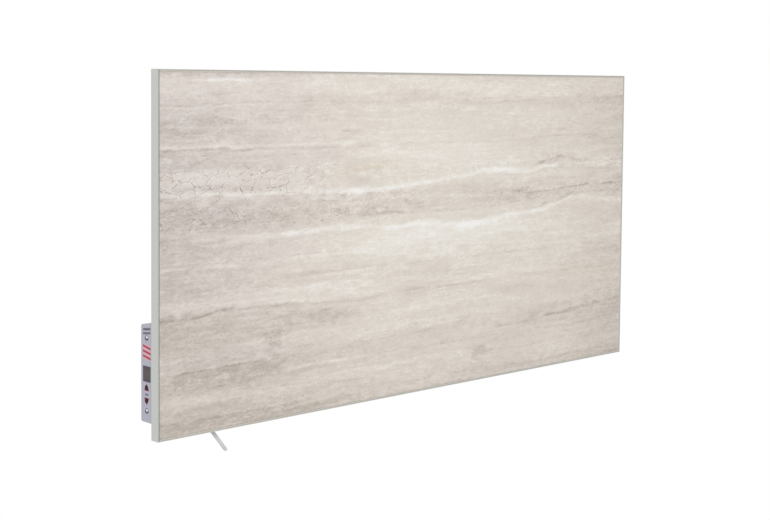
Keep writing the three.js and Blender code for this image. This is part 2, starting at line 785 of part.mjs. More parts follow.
// The moulded housing: a deep shell open at the fascia, with screw bosses on webs, board rails,
// a lip round its mouth, and holes for the heater leads and the cord's strain relief.
function controlHousing() {
  const outer = sidePlate(boxOutline(0), box_left, box_right, 4);
  const hollow = sidePlate(boxOutline(box_wall), box_left - 1, box_right - box_wall, 4);
  const mouth = sidePlate(boxOutline(box_wall / 2), box_left - 1, box_left + 1.2, 4);
  let body = solid(outer).subtract(solid(hollow)).subtract(solid(mouth));
  const boss_left = box_left + 1.6;
  const boss_right = boss_left + fascia_screw_length + 3;
  for (const z of fascia_screw_heights) {
    body = body.add(solid(crossBar(boss_radius, boss_left, boss_right, controls_depth, z)));
    const outward = Math.sign(z - box_middle[1]);
    const edge = outward > 0 ? box_top_z : box_bottom_z;
    const [low, high] = [Math.min(z, edge - outward), Math.max(z, edge - outward)];
    body = body.add(
      solid(block([boss_left + 3, controls_depth - 1, low], [boss_right, controls_depth + 1, high]))
    );
    const pilot_end = boss_left + fascia_screw_length;
    const pilot = crossBar(fascia_screw_radius + 0.15, boss_left - 1, pilot_end, controls_depth, z);
    body = body.subtract(solid(pilot));
  }
  for (const z of [board_low + 4, board_high - 4]) {
    for (const depth of [board_middle - board_half + 1, board_middle + board_half - 1]) {
      body = body.add(solid(crossBar(1.8, board_right + slip_gap, box_right - box_wall / 2, depth, z, 10)));
    }
  }
  body = body.subtract(
    solid(crossBar(gland_radius + slip_gap, box_right - box_wall - 1, box_right + 1, gland_depth, gland_z, 20))
  );
  for (const [x, z] of box_screw_places) {
    body = body.subtract(solid(bar(screw_hole, box_front - 1, box_front + box_wall + 1, x, z, 12)));
  }
  const lead_window = block(
    [lead_x - grommet_width / 2, box_front - 1, lead_z - lead_spread / 2 - grommet_height / 2],
    [lead_x + grommet_width / 2, box_front + box_wall + 1, lead_z - lead_spread / 2 + grommet_height / 2]
  );
  return shell(body.subtract(solid(lead_window)));
}
part('control_housing', controlHousing(), lavender_plastic);
box_screw_places.forEach(([x, z], i) => rearScrew(`box_screw_${i + 1}`, x, z, box_front + box_wall));

// The fascia: a plate that closes the box, with a stepped window, two button holes and two screw holes.
function fasciaPlate() {
  const outline = boxOutline(0);
  let body = solid(sidePlate(outline, fascia_outside, fascia_inside, 6));
  const lip = sidePlate(boxOutline(box_wall / 2 + slip_gap), fascia_inside - 0.5, fascia_inside + 1, 4);
  const lip_inner = sidePlate(boxOutline(box_wall + slip_gap), fascia_inside - 1, fascia_inside + 2, 4);
  body = body.add(solid(lip).subtract(solid(lip_inner)));
  const window = (grow, start, end) => {
    const width = display_width + 2 * grow;
    const height = display_height + 2 * grow;
    const outline = roundedRectangle(width, height, display_radius, controls_depth, display_z);
    return solid(sidePlate(outline, start, end));
  };
  body = body.subtract(window(0, fascia_outside - 1, fascia_outside + lens_thickness + slip_gap));
  body = body.subtract(window(-lens_ledge, fascia_outside - 1, fascia_inside + 1));
  for (const z of button_heights) {
    const radius = button_radius + button_clearance;
    const hole = crossBar(radius, fascia_outside - 1, fascia_inside + 1, controls_depth, z, 20);
    body = body.subtract(solid(hole));
  }
  for (const z of fascia_screw_heights) {
    const hole = crossBar(fascia_screw_radius + 0.25, fascia_outside - 1, fascia_inside + 1, controls_depth, z, 16);
    const cup = new THREE.CylinderGeometry(fascia_screw_head + 0.5, fascia_screw_head + 0.2, 1, 20)
      .rotateZ(Math.PI / 2)
      .translate(fascia_outside + 0.3, controls_depth, z);
    body = body.subtract(solid(hole)).subtract(solid(cup));
  }
  const peg_end = board_left - slip_gap;
  for (const z of [board_low + 5, board_high - 5]) {
    for (const depth of [board_middle - board_half + 3, board_middle + board_half - 3]) {
      body = body.add(solid(crossBar(2, fascia_inside - 0.5, peg_end, depth, z, 10)));
    }
  }
  return shell(body);
}
part('fascia_plate', fasciaPlate(), lavender_plastic);

const screw_seat = fascia_outside + 0.8;
fascia_screw_heights.forEach((z, i) => {
  const screw = panScrew(fascia_screw_radius, fascia_screw_head, fascia_screw_length, 16).rotateY(-Math.PI / 2);
  part(`fascia_screw_${i + 1}`, screw, steel, [screw_seat - slip_gap / 2, controls_depth, z]);
});

const lens_outline = roundedRectangle(
  display_width - 2 * slip_gap, display_height - 2 * slip_gap, display_radius, controls_depth, display_z
);
part('display_lens', sidePlate(lens_outline, fascia_outside + 0.2, fascia_outside + lens_thickness), dark_glass);

// The board with its parts.
const board_outline = roundedRectangle(
  2 * board_half, board_high - board_low, 1, board_middle, (board_low + board_high) / 2
);
part('control_board', sidePlate(board_outline, board_left, board_right), board_green);

const module_outline = roundedRectangle(display_width - 5, display_height - 5, 0.6, controls_depth, display_z);
part('display_module', sidePlate(module_outline, fascia_inside - 0.6, board_left - slip_gap), white_plastic);

// A tact switch: a square base with a round plunger.
const plunger_end = fascia_inside + 3.2;
function tactSwitch(z) {
  const base = roundedRectangle(6, 6, 0.4, controls_depth, z);
  const base_end = plunger_end + 1;
  const plunger = crossBar(1.7, plunger_end, base_end + 0.5, controls_depth, z, 14);
  return join(sidePlate(base, base_end, board_left - slip_gap), [plunger]);
}

// A push button: a domed cap, a shoulder behind the fascia and a stem to its switch.
const button_stem_end = plunger_end - button_travel - slip_gap;
function pushButton() {
  const shoulder = fascia_thickness + slip_gap;
  const stem_end = button_stem_end - fascia_outside;
  const profile = [
    [0, -stem_end],
    [1.5, -stem_end],
    [1.5, -shoulder - button_flange],
    [button_radius + 1.2, -shoulder - button_flange],
    [button_radius + 1.2, -shoulder],
    [button_radius, -shoulder],
    [button_radius, button_stand * 0.35],
    [button_radius * 0.72, button_stand * 0.85],
    [0, button_stand],
  ];
  return turned(profile, 20).rotateY(-Math.PI / 2);
}
['up', 'down'].forEach((way, i) => {
  part(`button_${way}`, pushButton(), maroon_plastic, [fascia_outside, controls_depth, button_heights[i]]);
  part(`tact_switch_${way}`, tactSwitch(button_heights[i]), black_plastic);
});

const relay_low = display_z + 4;
part(
  'power_relay',
  block([board_right + slip_gap, board_middle - 7, relay_low], [board_right + 16, board_middle + 7, relay_low + 24]),
  black_plastic
);

// The terminal block: three ways, each with a wire mouth below and a screw well at the side.
const terminal_left = board_right + slip_gap;
const terminal_low = board_low + 14;
const terminal_pitch = 5.5;
const terminal_mouth = 8; // from the board
function terminalBlock() {
  const reach = terminal_pitch * 1.5;
  const body = block(
    [terminal_left, controls_depth - reach, terminal_low],
    [terminal_left + 13, controls_depth + reach, terminal_low + 16]
  );
  const wells = [-1, 0, 1].flatMap((i) => {
    const depth = controls_depth + i * terminal_pitch;
    const mouth = bar(2, -4, 4, 0, 0, 10).rotateX(Math.PI / 2);
    return [
      crossBar(2.2, terminal_left + 7, terminal_left + 14, depth, terminal_low + 9, 12),
      mouth.translate(terminal_left + terminal_mouth, depth, terminal_low + 1),
    ];
  });
  return cut(body, wells);
}
part('terminal_block', terminalBlock(), white_plastic);

// Sleeves of the supply cores, from inside the strain relief to the terminals.
const core_colours = [red_sleeve, blue_sleeve, earth_sleeve];
['live', 'neutral', 'earth'].forEach((name, i) => {
  const step = i - 1;
  const depth = controls_depth + step * terminal_pitch;
  const route = new THREE.CatmullRomCurve3([
    new THREE.Vector3(box_right - box_wall - 3.4, gland_depth + step * 2.4, gland_z),
    new THREE.Vector3(box_right - box_wall - 10, gland_depth + step * 2.6, gland_z + 1),
    new THREE.Vector3(terminal_left + 15, depth + (gland_depth - controls_depth) * 0.5, gland_z + 7),
    new THREE.Vector3(terminal_left + 11, depth, terminal_low - 15),
    new THREE.Vector3(terminal_left + terminal_mouth, depth, terminal_low - 7),
    new THREE.Vector3(terminal_left + terminal_mouth, depth, terminal_low + 1),
  ]);
  part(`core_${name}`, tube(route, 2.2, 12, 8), core_colours[i]);
});

// The grommet that lines the window between the box and the cover.
function leadGrommet() {
  const z = lead_z - lead_spread / 2;
  const waist = roundedRectangle(grommet_width - 2 * slip_gap, grommet_height - 2 * slip_gap, 1, lead_x, z);
  const rim = roundedRectangle(grommet_width + 4, grommet_height + 4, 2, lead_x, z);
  const rim_front = box_front + box_wall + slip_gap;
  const body = join(plate(waist, cover_front, rim_front + 1), [plate(rim, rim_front, rim_front + 2)]);
  const bores = lead_places.map((hz) => bar(lead_radius + 0.15, cover_front - 1, rim_front + 3, lead_x, hz, 12));
  return cut(body, bores);
}
part('lead_grommet', leadGrommet(), dark_rubber);

// The heater's two leads, from the foil through the grommet into the box.
lead_places.forEach((z, i) => {
  const bend = box_front + box_wall + 7;
  const out = bend + 7 * (1 - i);
  const route = new THREE.CatmullRomCurve3([
    new THREE.Vector3(lead_x, element_back + slip_gap, z),
    new THREE.Vector3(lead_x, (element_back + bend) / 2, z),
    new THREE.Vector3(lead_x, bend - 3, z),
    new THREE.Vector3(lead_x, out, z),
    new THREE.Vector3(lead_x, out + 2, z - 5),
    new THREE.Vector3(lead_x, out + 2, z - 16),
    new THREE.Vector3(lead_x, out + 2, z - 28),
  ]);
  part(`heater_lead_${i + 1}`, tube(route, 2 * lead_radius, 18, 8), [red_sleeve, blue_sleeve][i]);
});

// ---------------------------------------------------------------- mains lead

const cord_radius = cord_diameter / 2;
const relief_tip = box_right + relief_length;

// The strain relief: a flange inside the wall, a collar outside it, and a ribbed taper.
function strainRelief() {
  const inner = box_right - box_wall - slip_gap;
  const profile = [[cord_radius - 0.6, inner - 2.4], [gland_radius + 1.6, inner - 2.4], [gland_radius + 1.6, inner]];
  profile.push([gland_radius, inner], [gland_radius, box_right + slip_gap]);
  profile.push([gland_radius + 2.2, box_right + slip_gap], [gland_radius + 2.2, box_right + 2]);
  const ribs = 4;
  const start = box_right + 3;
  const pitch = (relief_tip - start) / ribs;
  for (let i = 0; i < ribs; i++) {
    const radius = gland_radius - ((gland_radius - cord_radius - 1.1) * i) / ribs;
    const x = start + i * pitch;
    profile.push([radius, x], [radius, x + pitch * 0.62], [radius - 0.9, x + pitch * 0.7]);
    profile.push([radius - 0.9, x + pitch * (i < ribs - 1 ? 0.95 : 1)]);
  }
  profile.push([cord_radius - 0.6, relief_tip], [cord_radius - 0.6, inner - 2.4]);
  return turned(profile, 14).rotateY(Math.PI / 2).translate(0, gland_depth, gland_z);
}
part('strain_relief', strainRelief(), light_cord);

// The free stretch, in X, depth and Z: out of the relief, down in a loop below the panel's edge
// and up behind the panel to the hank.
const lead_points = [
  [-527.5, 38, -262],
  [-521, 38, -262],
  [-514, 38.2, -262.4],
  [-505, 38.8, -265],
  [-497, 39.4, -270],
  [-490, 39.8, -277.5],
  [-483, 39, -286.5],
  [-477.5, 35.5, -295.5],
  [-474, 30, -304],
  [-471.8, 22.5, -312],
  [-467.5, 17, -320.5],
  [-461, 15.9, -329.5],
  [-453, 19.5, -337.2],
  [-445, 28, -342.2],
  [-439.5, 40, -342],
  [-437.9, 51, -336.8],
  [-440.3, 59.6, -328],
  [-446.5, 63.9, -317.5],
  [-455, 63.4, -305.5],
  [-464, 60.5, -293],
  [-473, 56.6, -279],
  [-480, 52.4, -263],
  [-485, 47.8, -245],
  [-487.3, 43, -225],
  [-488, 38.6, -203],
  [-488, 35.7, -180],
  [-488, 35, -160],
  [-488, 35, -146.8],
];

function cordTube(points, step = 10) {
  const curve = new THREE.CatmullRomCurve3(points.map(([x, depth, z]) => new THREE.Vector3(x, depth, z)));
  const length = curve.getLength();
  return { geometry: tube(curve, cord_diameter, Math.round(length / step), 10), length };
}

// One point of the hank's centreline after a number of turns. Each turn is a stadium: a quarter
// of the left end, the upper run, the right end, the lower run and the rest of the left end. The
// turns spiral in on the first layer, climb to the second where they reverse, and spiral out.
function hankPoint(turns) {
  const half = hank_turns / 2;
  const radius = hank_inner + hank_pitch * Math.abs(turns - half);
  const climb = THREE.MathUtils.smoothstep(turns, half - 0.25, half + 0.25);
  const depth = hank_front_depth + hank_layer * climb;
  const quarter = (Math.PI * radius) / 2;
  let along = (turns % 1) * (4 * quarter + 2 * hank_run);
  const place = (x, z) => new THREE.Vector3(hank_x + x, depth, hank_z + z);
  const end = (side, angle) => place(side * (hank_run / 2 + radius * Math.cos(angle)), radius * Math.sin(angle));
  const run = (x, side) => {
    const drawn = (hank_waist * (1 + Math.cos((2 * Math.PI * x) / hank_run))) / 2;
    return place(x, side * (radius - drawn));
  };
  if (along < quarter) return end(-1, along / radius);
  along -= quarter;
  if (along < hank_run) return run(along - hank_run / 2, 1);
  along -= hank_run;
  if (along < 2 * quarter) return end(1, Math.PI / 2 - along / radius);
  along -= 2 * quarter;
  if (along < hank_run) return run(hank_run / 2 - along, -1);
  along -= hank_run;
  return end(-1, along / radius - Math.PI / 2);
}

// The hank's centreline, with a straight end of one diameter at each side.
function hankLine() {
  const count = Math.round(hank_turns * hank_steps);
  const points = Array.from({ length: count + 1 }, (_, i) => hankPoint((i / count) * hank_turns));
  const straight = (from, to) => to.clone().add(to.clone().sub(from).setLength(cord_diameter));
  const first = hankPoint(0).add(new THREE.Vector3(0, 0, -cord_diameter));
  return [first, ...points, straight(points[count - 1], points[count])];
}

// A tube of six sides along a list of points, each ring square to the line there.
function pointTube(points, diameter, sides = 6) {
  const positions = [];
  const index = [];
  const side_axis = new THREE.Vector3(0, 1, 0);
  points.forEach((point, i) => {
    const ahead = points[Math.min(i + 1, points.length - 1)].clone().sub(points[Math.max(i - 1, 0)]).normalize();
    const across = new THREE.Vector3().crossVectors(ahead, side_axis).normalize();
    const over = new THREE.Vector3().crossVectors(across, ahead).normalize();
    for (let s = 0; s < sides; s++) {
      const angle = ((s + 0.5) / sides) * Math.PI * 2;
      const place = point.clone();
      place.addScaledVector(across, (Math.cos(angle) * diameter) / 2);
      place.addScaledVector(over, (Math.sin(angle) * diameter) / 2);
      positions.push(place.x, place.y, place.z);
    }
  });
  const last = points.length - 1;
  for (let i = 0; i < last; i++) {
    for (let s = 0; s < sides; s++) {
      const [a, b] = [i * sides + s, i * sides + ((s + 1) % sides)];
      index.push(a, a + sides, b, b, a + sides, b + sides);
    }
  }
  for (let s = 1; s < sides - 1; s++) {
    index.push(0, s, s + 1, last * sides, last * sides + s + 1, last * sides + s);
  }
  const geometry = new THREE.BufferGeometry();
  geometry.setAttribute('position', new THREE.Float32BufferAttribute(positions, 3));
  geometry.setIndex(index);
  return geometry;
}

// The least gap between turns of a wound tube, measured on points along its line.
function leastGap(points, diameter) {
  const line = new THREE.CatmullRomCurve3(points).getSpacedPoints(points.length * 6);
  const spacing = line[0].distanceTo(line[1]);
  const skip = Math.ceil((diameter * 4) / spacing);
  let least = Infinity;
  for (let i = 0; i < line.length; i++) {
    for (let j = i + skip; j < line.length; j++) {
      least = Math.min(least, line[i].distanceTo(line[j]));
    }
  }
  return least - diameter;
}

const lead = cordTube(lead_points);
part('mains_cord_lead', lead.geometry, light_cord);

const hank_line = hankLine();
part('mains_cord_hank', pointTube(hank_line, cord_diameter), light_cord);

// The tail, in X, depth and Z, from the hank down to the plug that hangs on it.
const tail_points = [
  [-371.06, 42.1, -172.42],
  [-377.5, 42.1, -172.6],
  [-386, 43.2, -177],
  [-393, 44.6, -184],
  [-397.2, 46, -192.5],
  [-398.4, 46.8, -201],
  [-398.4, 47, -207.7],
];
const tail = cordTube(tail_points, 7);
part('mains_cord_tail', tail.geometry, light_cord);

const hank_length = hank_line.slice(1).reduce((sum, p, i) => sum + p.distanceTo(hank_line[i]), 0);
console.log(
  `cord: lead ${lead.length.toFixed(1)}, hank ${hank_length.toFixed(1)}, tail ${tail.length.toFixed(1)} mm;`,
  `least gap between the hank's turns ${leastGap(hank_line, cord_diameter).toFixed(2)} mm`
);

// The tie: a strap round the hank's waist, through a slotted anchor on the cover.
const outer_radius = hank_inner + (hank_pitch * hank_turns) / 2;
const tie_half = outer_radius - hank_waist + cord_radius + 0.5;
const tie_front = hank_front_depth - cord_radius - 0.5;
const tie_back = hank_front_depth + hank_layer + cord_radius + 0.5;
const strap_start = hank_x - tie_width / 2;

function strapLoop(grow, outline = new THREE.Shape()) {
  const middle = (tie_front + tie_back) / 2;
  const depth = tie_back - tie_front + 2 * grow;
  return roundedRectangle(depth, 2 * (tie_half + grow), cord_radius + grow, middle, hank_z, outline);
}
const strap = strapLoop(tie_thickness);
strap.holes.push(strapLoop(0, new THREE.Path()));
part('cord_tie', sidePlate(strap, strap_start, strap_start + tie_width), black_plastic);

const anchor_front = field_back + slip_gap;
function tieAnchor() {
  const reach = tie_width / 2 + 3;
  const base = plate(roundedRectangle(2 * reach, 26, 2, hank_x, hank_z), anchor_front, tie_front - slip_gap);
  const strap_front = tie_front - tie_thickness;
  const slot = block(
    [strap_start - slip_gap, strap_front - slip_gap, hank_z - 20],
    [strap_start + tie_width + slip_gap, tie_front + 1, hank_z + 20]
  );
  return cut(base, [slot]);
}
part('tie_anchor', tieAnchor(), white_plastic);

// The plug hangs with its pins down: a boot, a round body with a grip waist, and a recess for earth.
const [plug_x, , plug_top] = tail_points[tail_points.length - 1];
function plugBody() {
  const top = 0;
  const shoulder = -plug_boot;
  const base = shoulder - plug_length;
  const profile = [
    [0, top],
    [cord_radius + 1, top],
    [cord_radius + 1.8, top - 6],
    [cord_radius + 3, shoulder + 4],
    [plug_radius * 0.6, shoulder],
    [plug_radius * 0.86, shoulder - 4],
    [plug_radius * 0.84, shoulder - plug_length * 0.45],
    [plug_radius * 0.98, shoulder - plug_length * 0.62],
    [plug_radius, base + 1.2],
    [plug_radius - 1.2, base],
    [0, base],
  ].reverse();
  const body = turned(profile, 22);
  const notch = (side) =>
    block([-3, side * plug_radius - 1.6, base - 1], [3, side * plug_radius + 1.6, shoulder - plug_length * 0.55]);
  const sockets = [-1, 1].map((side) =>
    new THREE.CylinderGeometry(pin_radius + 0.1, pin_radius + 0.1, 8, 14)
      .rotateX(Math.PI / 2)
      .translate((side * pin_spacing) / 2, 0, base + 3)
  );
  return cut(body, [notch(-1), notch(1), ...sockets]);
}
const plug_place = [plug_x, plug_depth, plug_top - slip_gap];
part('plug_body', plugBody(), light_cord, plug_place);

function plugPin() {
  const root = 6.5;
  const profile = [
    [0, -pin_length],
    [pin_radius * 0.55, -pin_length],
    [pin_radius, -pin_length + 1.6],
    [pin_radius, root],
    [0, root],
  ];
  return turned(profile, 14);
}
[-1, 1].forEach((side, i) => {
  const place = [plug_x + (side * pin_spacing) / 2, plug_depth, plug_place[2] - plug_boot - plug_length];
  part(`plug_pin_${i + 1}`, plugPin(), nickel, place);
});

export default heater;
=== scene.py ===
"""The looks of a flat infrared wall heater: camera, light, mains cord and every surface's finish.

Metres, in the model's own frame: +X right, +Y back to the wall, +Z up, the origin at the centre
of the panel in the plane of the wall.
"""

import math

import bpy
import numpy as np
from mathutils import Matrix, Vector


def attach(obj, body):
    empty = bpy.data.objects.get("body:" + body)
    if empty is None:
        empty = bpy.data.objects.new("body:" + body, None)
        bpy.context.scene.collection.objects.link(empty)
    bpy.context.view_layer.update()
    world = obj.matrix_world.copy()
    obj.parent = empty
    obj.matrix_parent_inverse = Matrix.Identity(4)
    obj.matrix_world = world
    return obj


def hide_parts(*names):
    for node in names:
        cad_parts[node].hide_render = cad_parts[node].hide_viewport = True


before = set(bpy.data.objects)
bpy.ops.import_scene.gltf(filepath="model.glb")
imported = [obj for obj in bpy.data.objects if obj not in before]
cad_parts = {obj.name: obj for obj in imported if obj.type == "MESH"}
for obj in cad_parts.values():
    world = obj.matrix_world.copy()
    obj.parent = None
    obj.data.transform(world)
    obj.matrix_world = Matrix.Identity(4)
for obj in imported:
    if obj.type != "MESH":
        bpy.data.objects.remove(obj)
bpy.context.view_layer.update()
scene = bpy.context.scene
MM = 0.001
PANEL_DEPTH = 70  # front of the panel to the wall, in millimetres

# ---------------------------------------------------------------- camera

CAMERA_PLACE = (-1.900, -1.986, 0.282)
CAMERA_TURN = (43.39, -3.29, 0.504)  # yaw, pitch and roll in degrees
SENSOR_WIDTH = 36  # millimetres
PICTURE_WIDTH, FOCAL_PIXELS = 770, 1440
SHIFT_PIXELS = (-6.6, -95)


def set_camera():
    """Camera at eye height of the panel, left of it, turned by yaw and tilted by pitch and roll.

    forward = (sin yaw cos pitch, cos yaw cos pitch, sin pitch); right and up are turned about it
    by roll. The picture is shifted so that the upright edges stay upright.
    """
    yaw, pitch, roll = (math.radians(a) for a in CAMERA_TURN)
    reach = math.cos(pitch)
    forward = Vector((math.sin(yaw) * reach, math.cos(yaw) * reach, math.sin(pitch)))
    level = Vector((math.cos(yaw), -math.sin(yaw), 0))
    over = level.cross(forward)
    right = level * math.cos(roll) + over * math.sin(roll)
    up = over * math.cos(roll) - level * math.sin(roll)
    data = bpy.data.cameras.new("camera")
    data.sensor_width = SENSOR_WIDTH
    data.lens = FOCAL_PIXELS / PICTURE_WIDTH * SENSOR_WIDTH
    data.shift_x, data.shift_y = (shift / PICTURE_WIDTH for shift in SHIFT_PIXELS)
    data.clip_start, data.clip_end = 0.05, 50
    camera = bpy.data.objects.new("camera", data)
    scene.collection.objects.link(camera)
    axes = Matrix((right, up, -forward)).transposed().to_4x4()
    camera.matrix_world = Matrix.Translation(CAMERA_PLACE) @ axes
    scene.camera = camera


set_camera()

# ---------------------------------------------------------------- mesh helpers


def in_frame(points):
    """Points given as X, depth and Z in millimetres, in metres of the model's frame."""
    return (np.asarray(points, float) - (0, PANEL_DEPTH, 0)) * MM


def ease(value, low, high):
    """0 at low to 1 at high as t*t*(3-2t), where t is how far value has come."""
    t = np.clip((value - low) / (high - low), 0, 1)
    return t * t * (3 - 2 * t)


def link_mesh(name, points, faces, smooth=True):
    """A mesh object from an array of points and an array of faces with equal corner counts."""
    mesh = bpy.data.meshes.new(name)
    count, corners = faces.shape
    mesh.vertices.add(len(points))
    mesh.vertices.foreach_set("co", np.asarray(points, np.float32).ravel())
    mesh.loops.add(count * corners)
    mesh.loops.foreach_set("vertex_index", faces.astype(np.int32).ravel())
    mesh.polygons.add(count)
    mesh.polygons.foreach_set("loop_start", np.arange(0, count * corners, corners, dtype=np.int32))
    mesh.polygons.foreach_set("use_smooth", np.full(count, smooth))
    mesh.update(calc_edges=True)
    mesh.validate()
    piece = bpy.data.objects.new(name, mesh)
    scene.collection.objects.link(piece)
    return piece


def smooth_line(points, step, samples=48):
    """Points every step along the curve p(t) through the given points.

    Each stretch from b to c, with neighbours a and d, is the cubic whose end slopes are
    (b-a)/ab - (c-a)/(ab+bc) + (c-b)/bc, times bc, and the same from the other side, where ab is
    the square root of the distance from a to b.
    """
    p = np.asarray(points, float)
    p = np.vstack([2 * p[0] - p[1], p, 2 * p[-1] - p[-2]])
    out = []
    for a, b, c, d in zip(p, p[1:], p[2:], p[3:]):
        ab, bc, cd = (max(np.linalg.norm(v) ** 0.5, 1e-9) for v in (b - a, c - b, d - c))
        start = ((b - a) / ab - (c - a) / (ab + bc) + (c - b) / bc) * bc
        end = ((c - b) / bc - (d - b) / (bc + cd) + (d - c) / cd) * bc
        t = np.linspace(0, 1, samples, endpoint=False)[:, None]
        cubic = 2 * b - 2 * c + start + end
        square = -3 * b + 3 * c - 2 * start - end
        out.append(b + t * (start + t * (square + t * cubic)))
    line = np.vstack([*out, p[-2:-1]])
    along = np.concatenate([[0], np.cumsum(np.linalg.norm(np.diff(line, axis=0), axis=1))])
    marks = np.linspace(0, along[-1], max(2, round(along[-1] / step)) + 1)
    return np.stack([np.interp(marks, along, line[:, k]) for k in range(3)], axis=1)


def tube(name, line, diameter, sides=16):
    """A round tube: ring i is line[i] + r (cos a side + sin a over), square to the line there."""
    ahead = np.gradient(line, axis=0)
    ahead /= np.linalg.norm(ahead, axis=1)[:, None]
    side = np.zeros_like(line)
    side[0] = np.cross(ahead[0], (0, 1, 0) if abs(ahead[0][1]) < 0.9 else (1, 0, 0))
    for i in range(len(line)):
        previous = side[max(i - 1, 0)]
        side[i] = previous - ahead[i] * (previous @ ahead[i])
        side[i] /= np.linalg.norm(side[i])
    over = np.cross(ahead, side)
    angle = np.arange(sides) / sides * 2 * math.pi
    cosine, sine = np.cos(angle)[None, :, None], np.sin(angle)[None, :, None]
    ring = cosine * side[:, None] + sine * over[:, None]
    points = (line[:, None] + ring * diameter / 2).reshape(-1, 3)
    i, j = np.meshgrid(np.arange(len(line) - 1), np.arange(sides), indexing="ij")
    k = (j + 1) % sides
    faces = np.stack([i * sides + j, i * sides + k, (i + 1) * sides + k, (i + 1) * sides + j], -1)
    return link_mesh(name, points, faces.reshape(-1, 4))


# ---------------------------------------------------------------- mains cord

# Sizes and places in millimetres
CORD_DIAMETER, CORD_STEP = 6.5, 2.5
HANK_X, HANK_Z, HANK_DEPTH = -405, -140, 35
HANK_RUN, HANK_INNER, HANK_WAIST = 100, 19.5, 9
HANK_PITCH, HANK_LAYER = 7.4, 7.1  # from turn to turn, and from layer to layer
HANK_TURNS, HANK_STEPS = 3.65, 24  # turns, and points on each
HANK_CLIMB = 0.25  # turns before and after the middle, over which the depth steps up

# The route outside the hank, as X, depth behind the panel's front, and Z
LEAD_POINTS = [
    (-527.5, 38, -262),
    (-521, 38, -262),
    (-514, 38.2, -262.4),
    (-505, 38.8, -265),
    (-497, 39.4, -270),
    (-490, 39.8, -277.5),
    (-483, 39, -286.5),
    (-477.5, 35.5, -295.5),
    (-474, 30, -304),
    (-471.8, 22.5, -312),
    (-467.5, 17, -320.5),
    (-461, 15.9, -329.5),
    (-453, 19.5, -337.2),
    (-445, 28, -342.2),
    (-439.5, 40, -342),
    (-437.9, 51, -336.8),
    (-440.3, 59.6, -328),
    (-446.5, 63.9, -317.5),
    (-455, 63.4, -305.5),
    (-464, 60.5, -293),
    (-473, 56.6, -279),
    (-480, 52.4, -263),
    (-485, 47.8, -245),
    (-487.3, 43, -225),
    (-488, 38.6, -203),
    (-488, 35.7, -180),
    (-488, 35, -160),
]
TAIL_POINTS = [
    (-377.5, 42.1, -172.6),
    (-386, 43.2, -177),
    (-393, 44.6, -184),
    (-397.2, 46, -192.5),
    (-398.4, 46.8, -201),
    (-398.4, 47, -207.7),
]


def hank_point(turns):
    """The hank's line after some turns: (X, depth, Z) on a stadium of radius r and run 100.

    r = inner + pitch |turns - half|, the depth steps up by one layer at half of the turns, and
    each run is drawn in by waist (1 + cos(2 pi x / run)) / 2.
    """
    half = HANK_TURNS / 2
    radius = HANK_INNER + HANK_PITCH * abs(turns - half)
    depth = HANK_DEPTH + HANK_LAYER * ease(turns, half - HANK_CLIMB, half + HANK_CLIMB)
    quarter = math.pi * radius / 2
    along = turns % 1 * (4 * quarter + 2 * HANK_RUN)

    def end(side, angle):
        x = HANK_X + side * (HANK_RUN / 2 + radius * math.cos(angle))
        return x, depth, HANK_Z + radius * math.sin(angle)

    def run(x, side):
        drawn = HANK_WAIST * (1 + math.cos(2 * math.pi * x / HANK_RUN)) / 2
        return HANK_X + x, depth, HANK_Z + side * (radius - drawn)

    if along < quarter:
        return end(-1, along / radius)
    along -= quarter
    if along < HANK_RUN:
        return run(along - HANK_RUN / 2, 1)
    along -= HANK_RUN
    if along < 2 * quarter:
        return end(1, math.pi / 2 - along / radius)
    along -= 2 * quarter
    if along < HANK_RUN:
        return run(HANK_RUN / 2 - along, -1)
    return end(-1, (along - HANK_RUN) / radius - math.pi / 2)


def make_cord():
    """One cord from the strain relief to the plug: the loop below the panel, the hank and the tail. It
    takes the place of the model's own lead, hank and tail, which are hidden.
    """
    count = round(HANK_TURNS * HANK_STEPS)
    hank = [hank_point(i / count * HANK_TURNS) for i in range(count + 1)]
    line = smooth_line(in_frame([*LEAD_POINTS, *hank, *TAIL_POINTS]), CORD_STEP * MM)
    cord = tube("mains_cord", line, CORD_DIAMETER * MM)
    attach(cord, "panel")
    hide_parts("mains_cord_lead", "mains_cord_hank", "mains_cord_tail")


make_cord()

# ---------------------------------------------------------------- shader helpers


def tone(red, green, blue):
    """A colour from 8-bit display values: c/12.92 below 0.04045, else ((c+0.055)/1.055)^2.4."""
    parts = (c / 255 for c in (red, green, blue))
    return tuple(c / 12.92 if c < 0.04045 else ((c + 0.055) / 1.055) ** 2.4 for c in parts) + (1,)


class Wire:
    """A socket of a finish. Arithmetic on it adds the node that does the sum."""

    def __init__(self, finish, socket):
        self.finish, self.socket = finish, socket

    def __add__(self, other):
        return self.finish.math("ADD", self, other)

    def __sub__(self, other):
        return self.finish.math("SUBTRACT", self, other)

    def __rsub__(self, other):
        return self.finish.math("SUBTRACT", other, self)

    def __mul__(self, other):
        return self.finish.math("MULTIPLY", self, other)

    def __abs__(self):
        return self.finish.math("ABSOLUTE", self)

    __radd__ = __add__
    __rmul__ = __mul__

    def lesser(self, other):
        return self.finish.math("MINIMUM", self, other)

    def greater(self, other):
        return self.finish.math("MAXIMUM", self, other)

    def ramp(self, low, high, start=0.0, end=1.0, shape="SMOOTHSTEP"):
        """From start at low to end at high, with smooth shoulders unless the shape is LINEAR."""
        values = {"Value": self, "From Min": low, "From Max": high, "To Min": start, "To Max": end}
        return self.finish.node("ShaderNodeMapRange", {"interpolation_type": shape}, values)


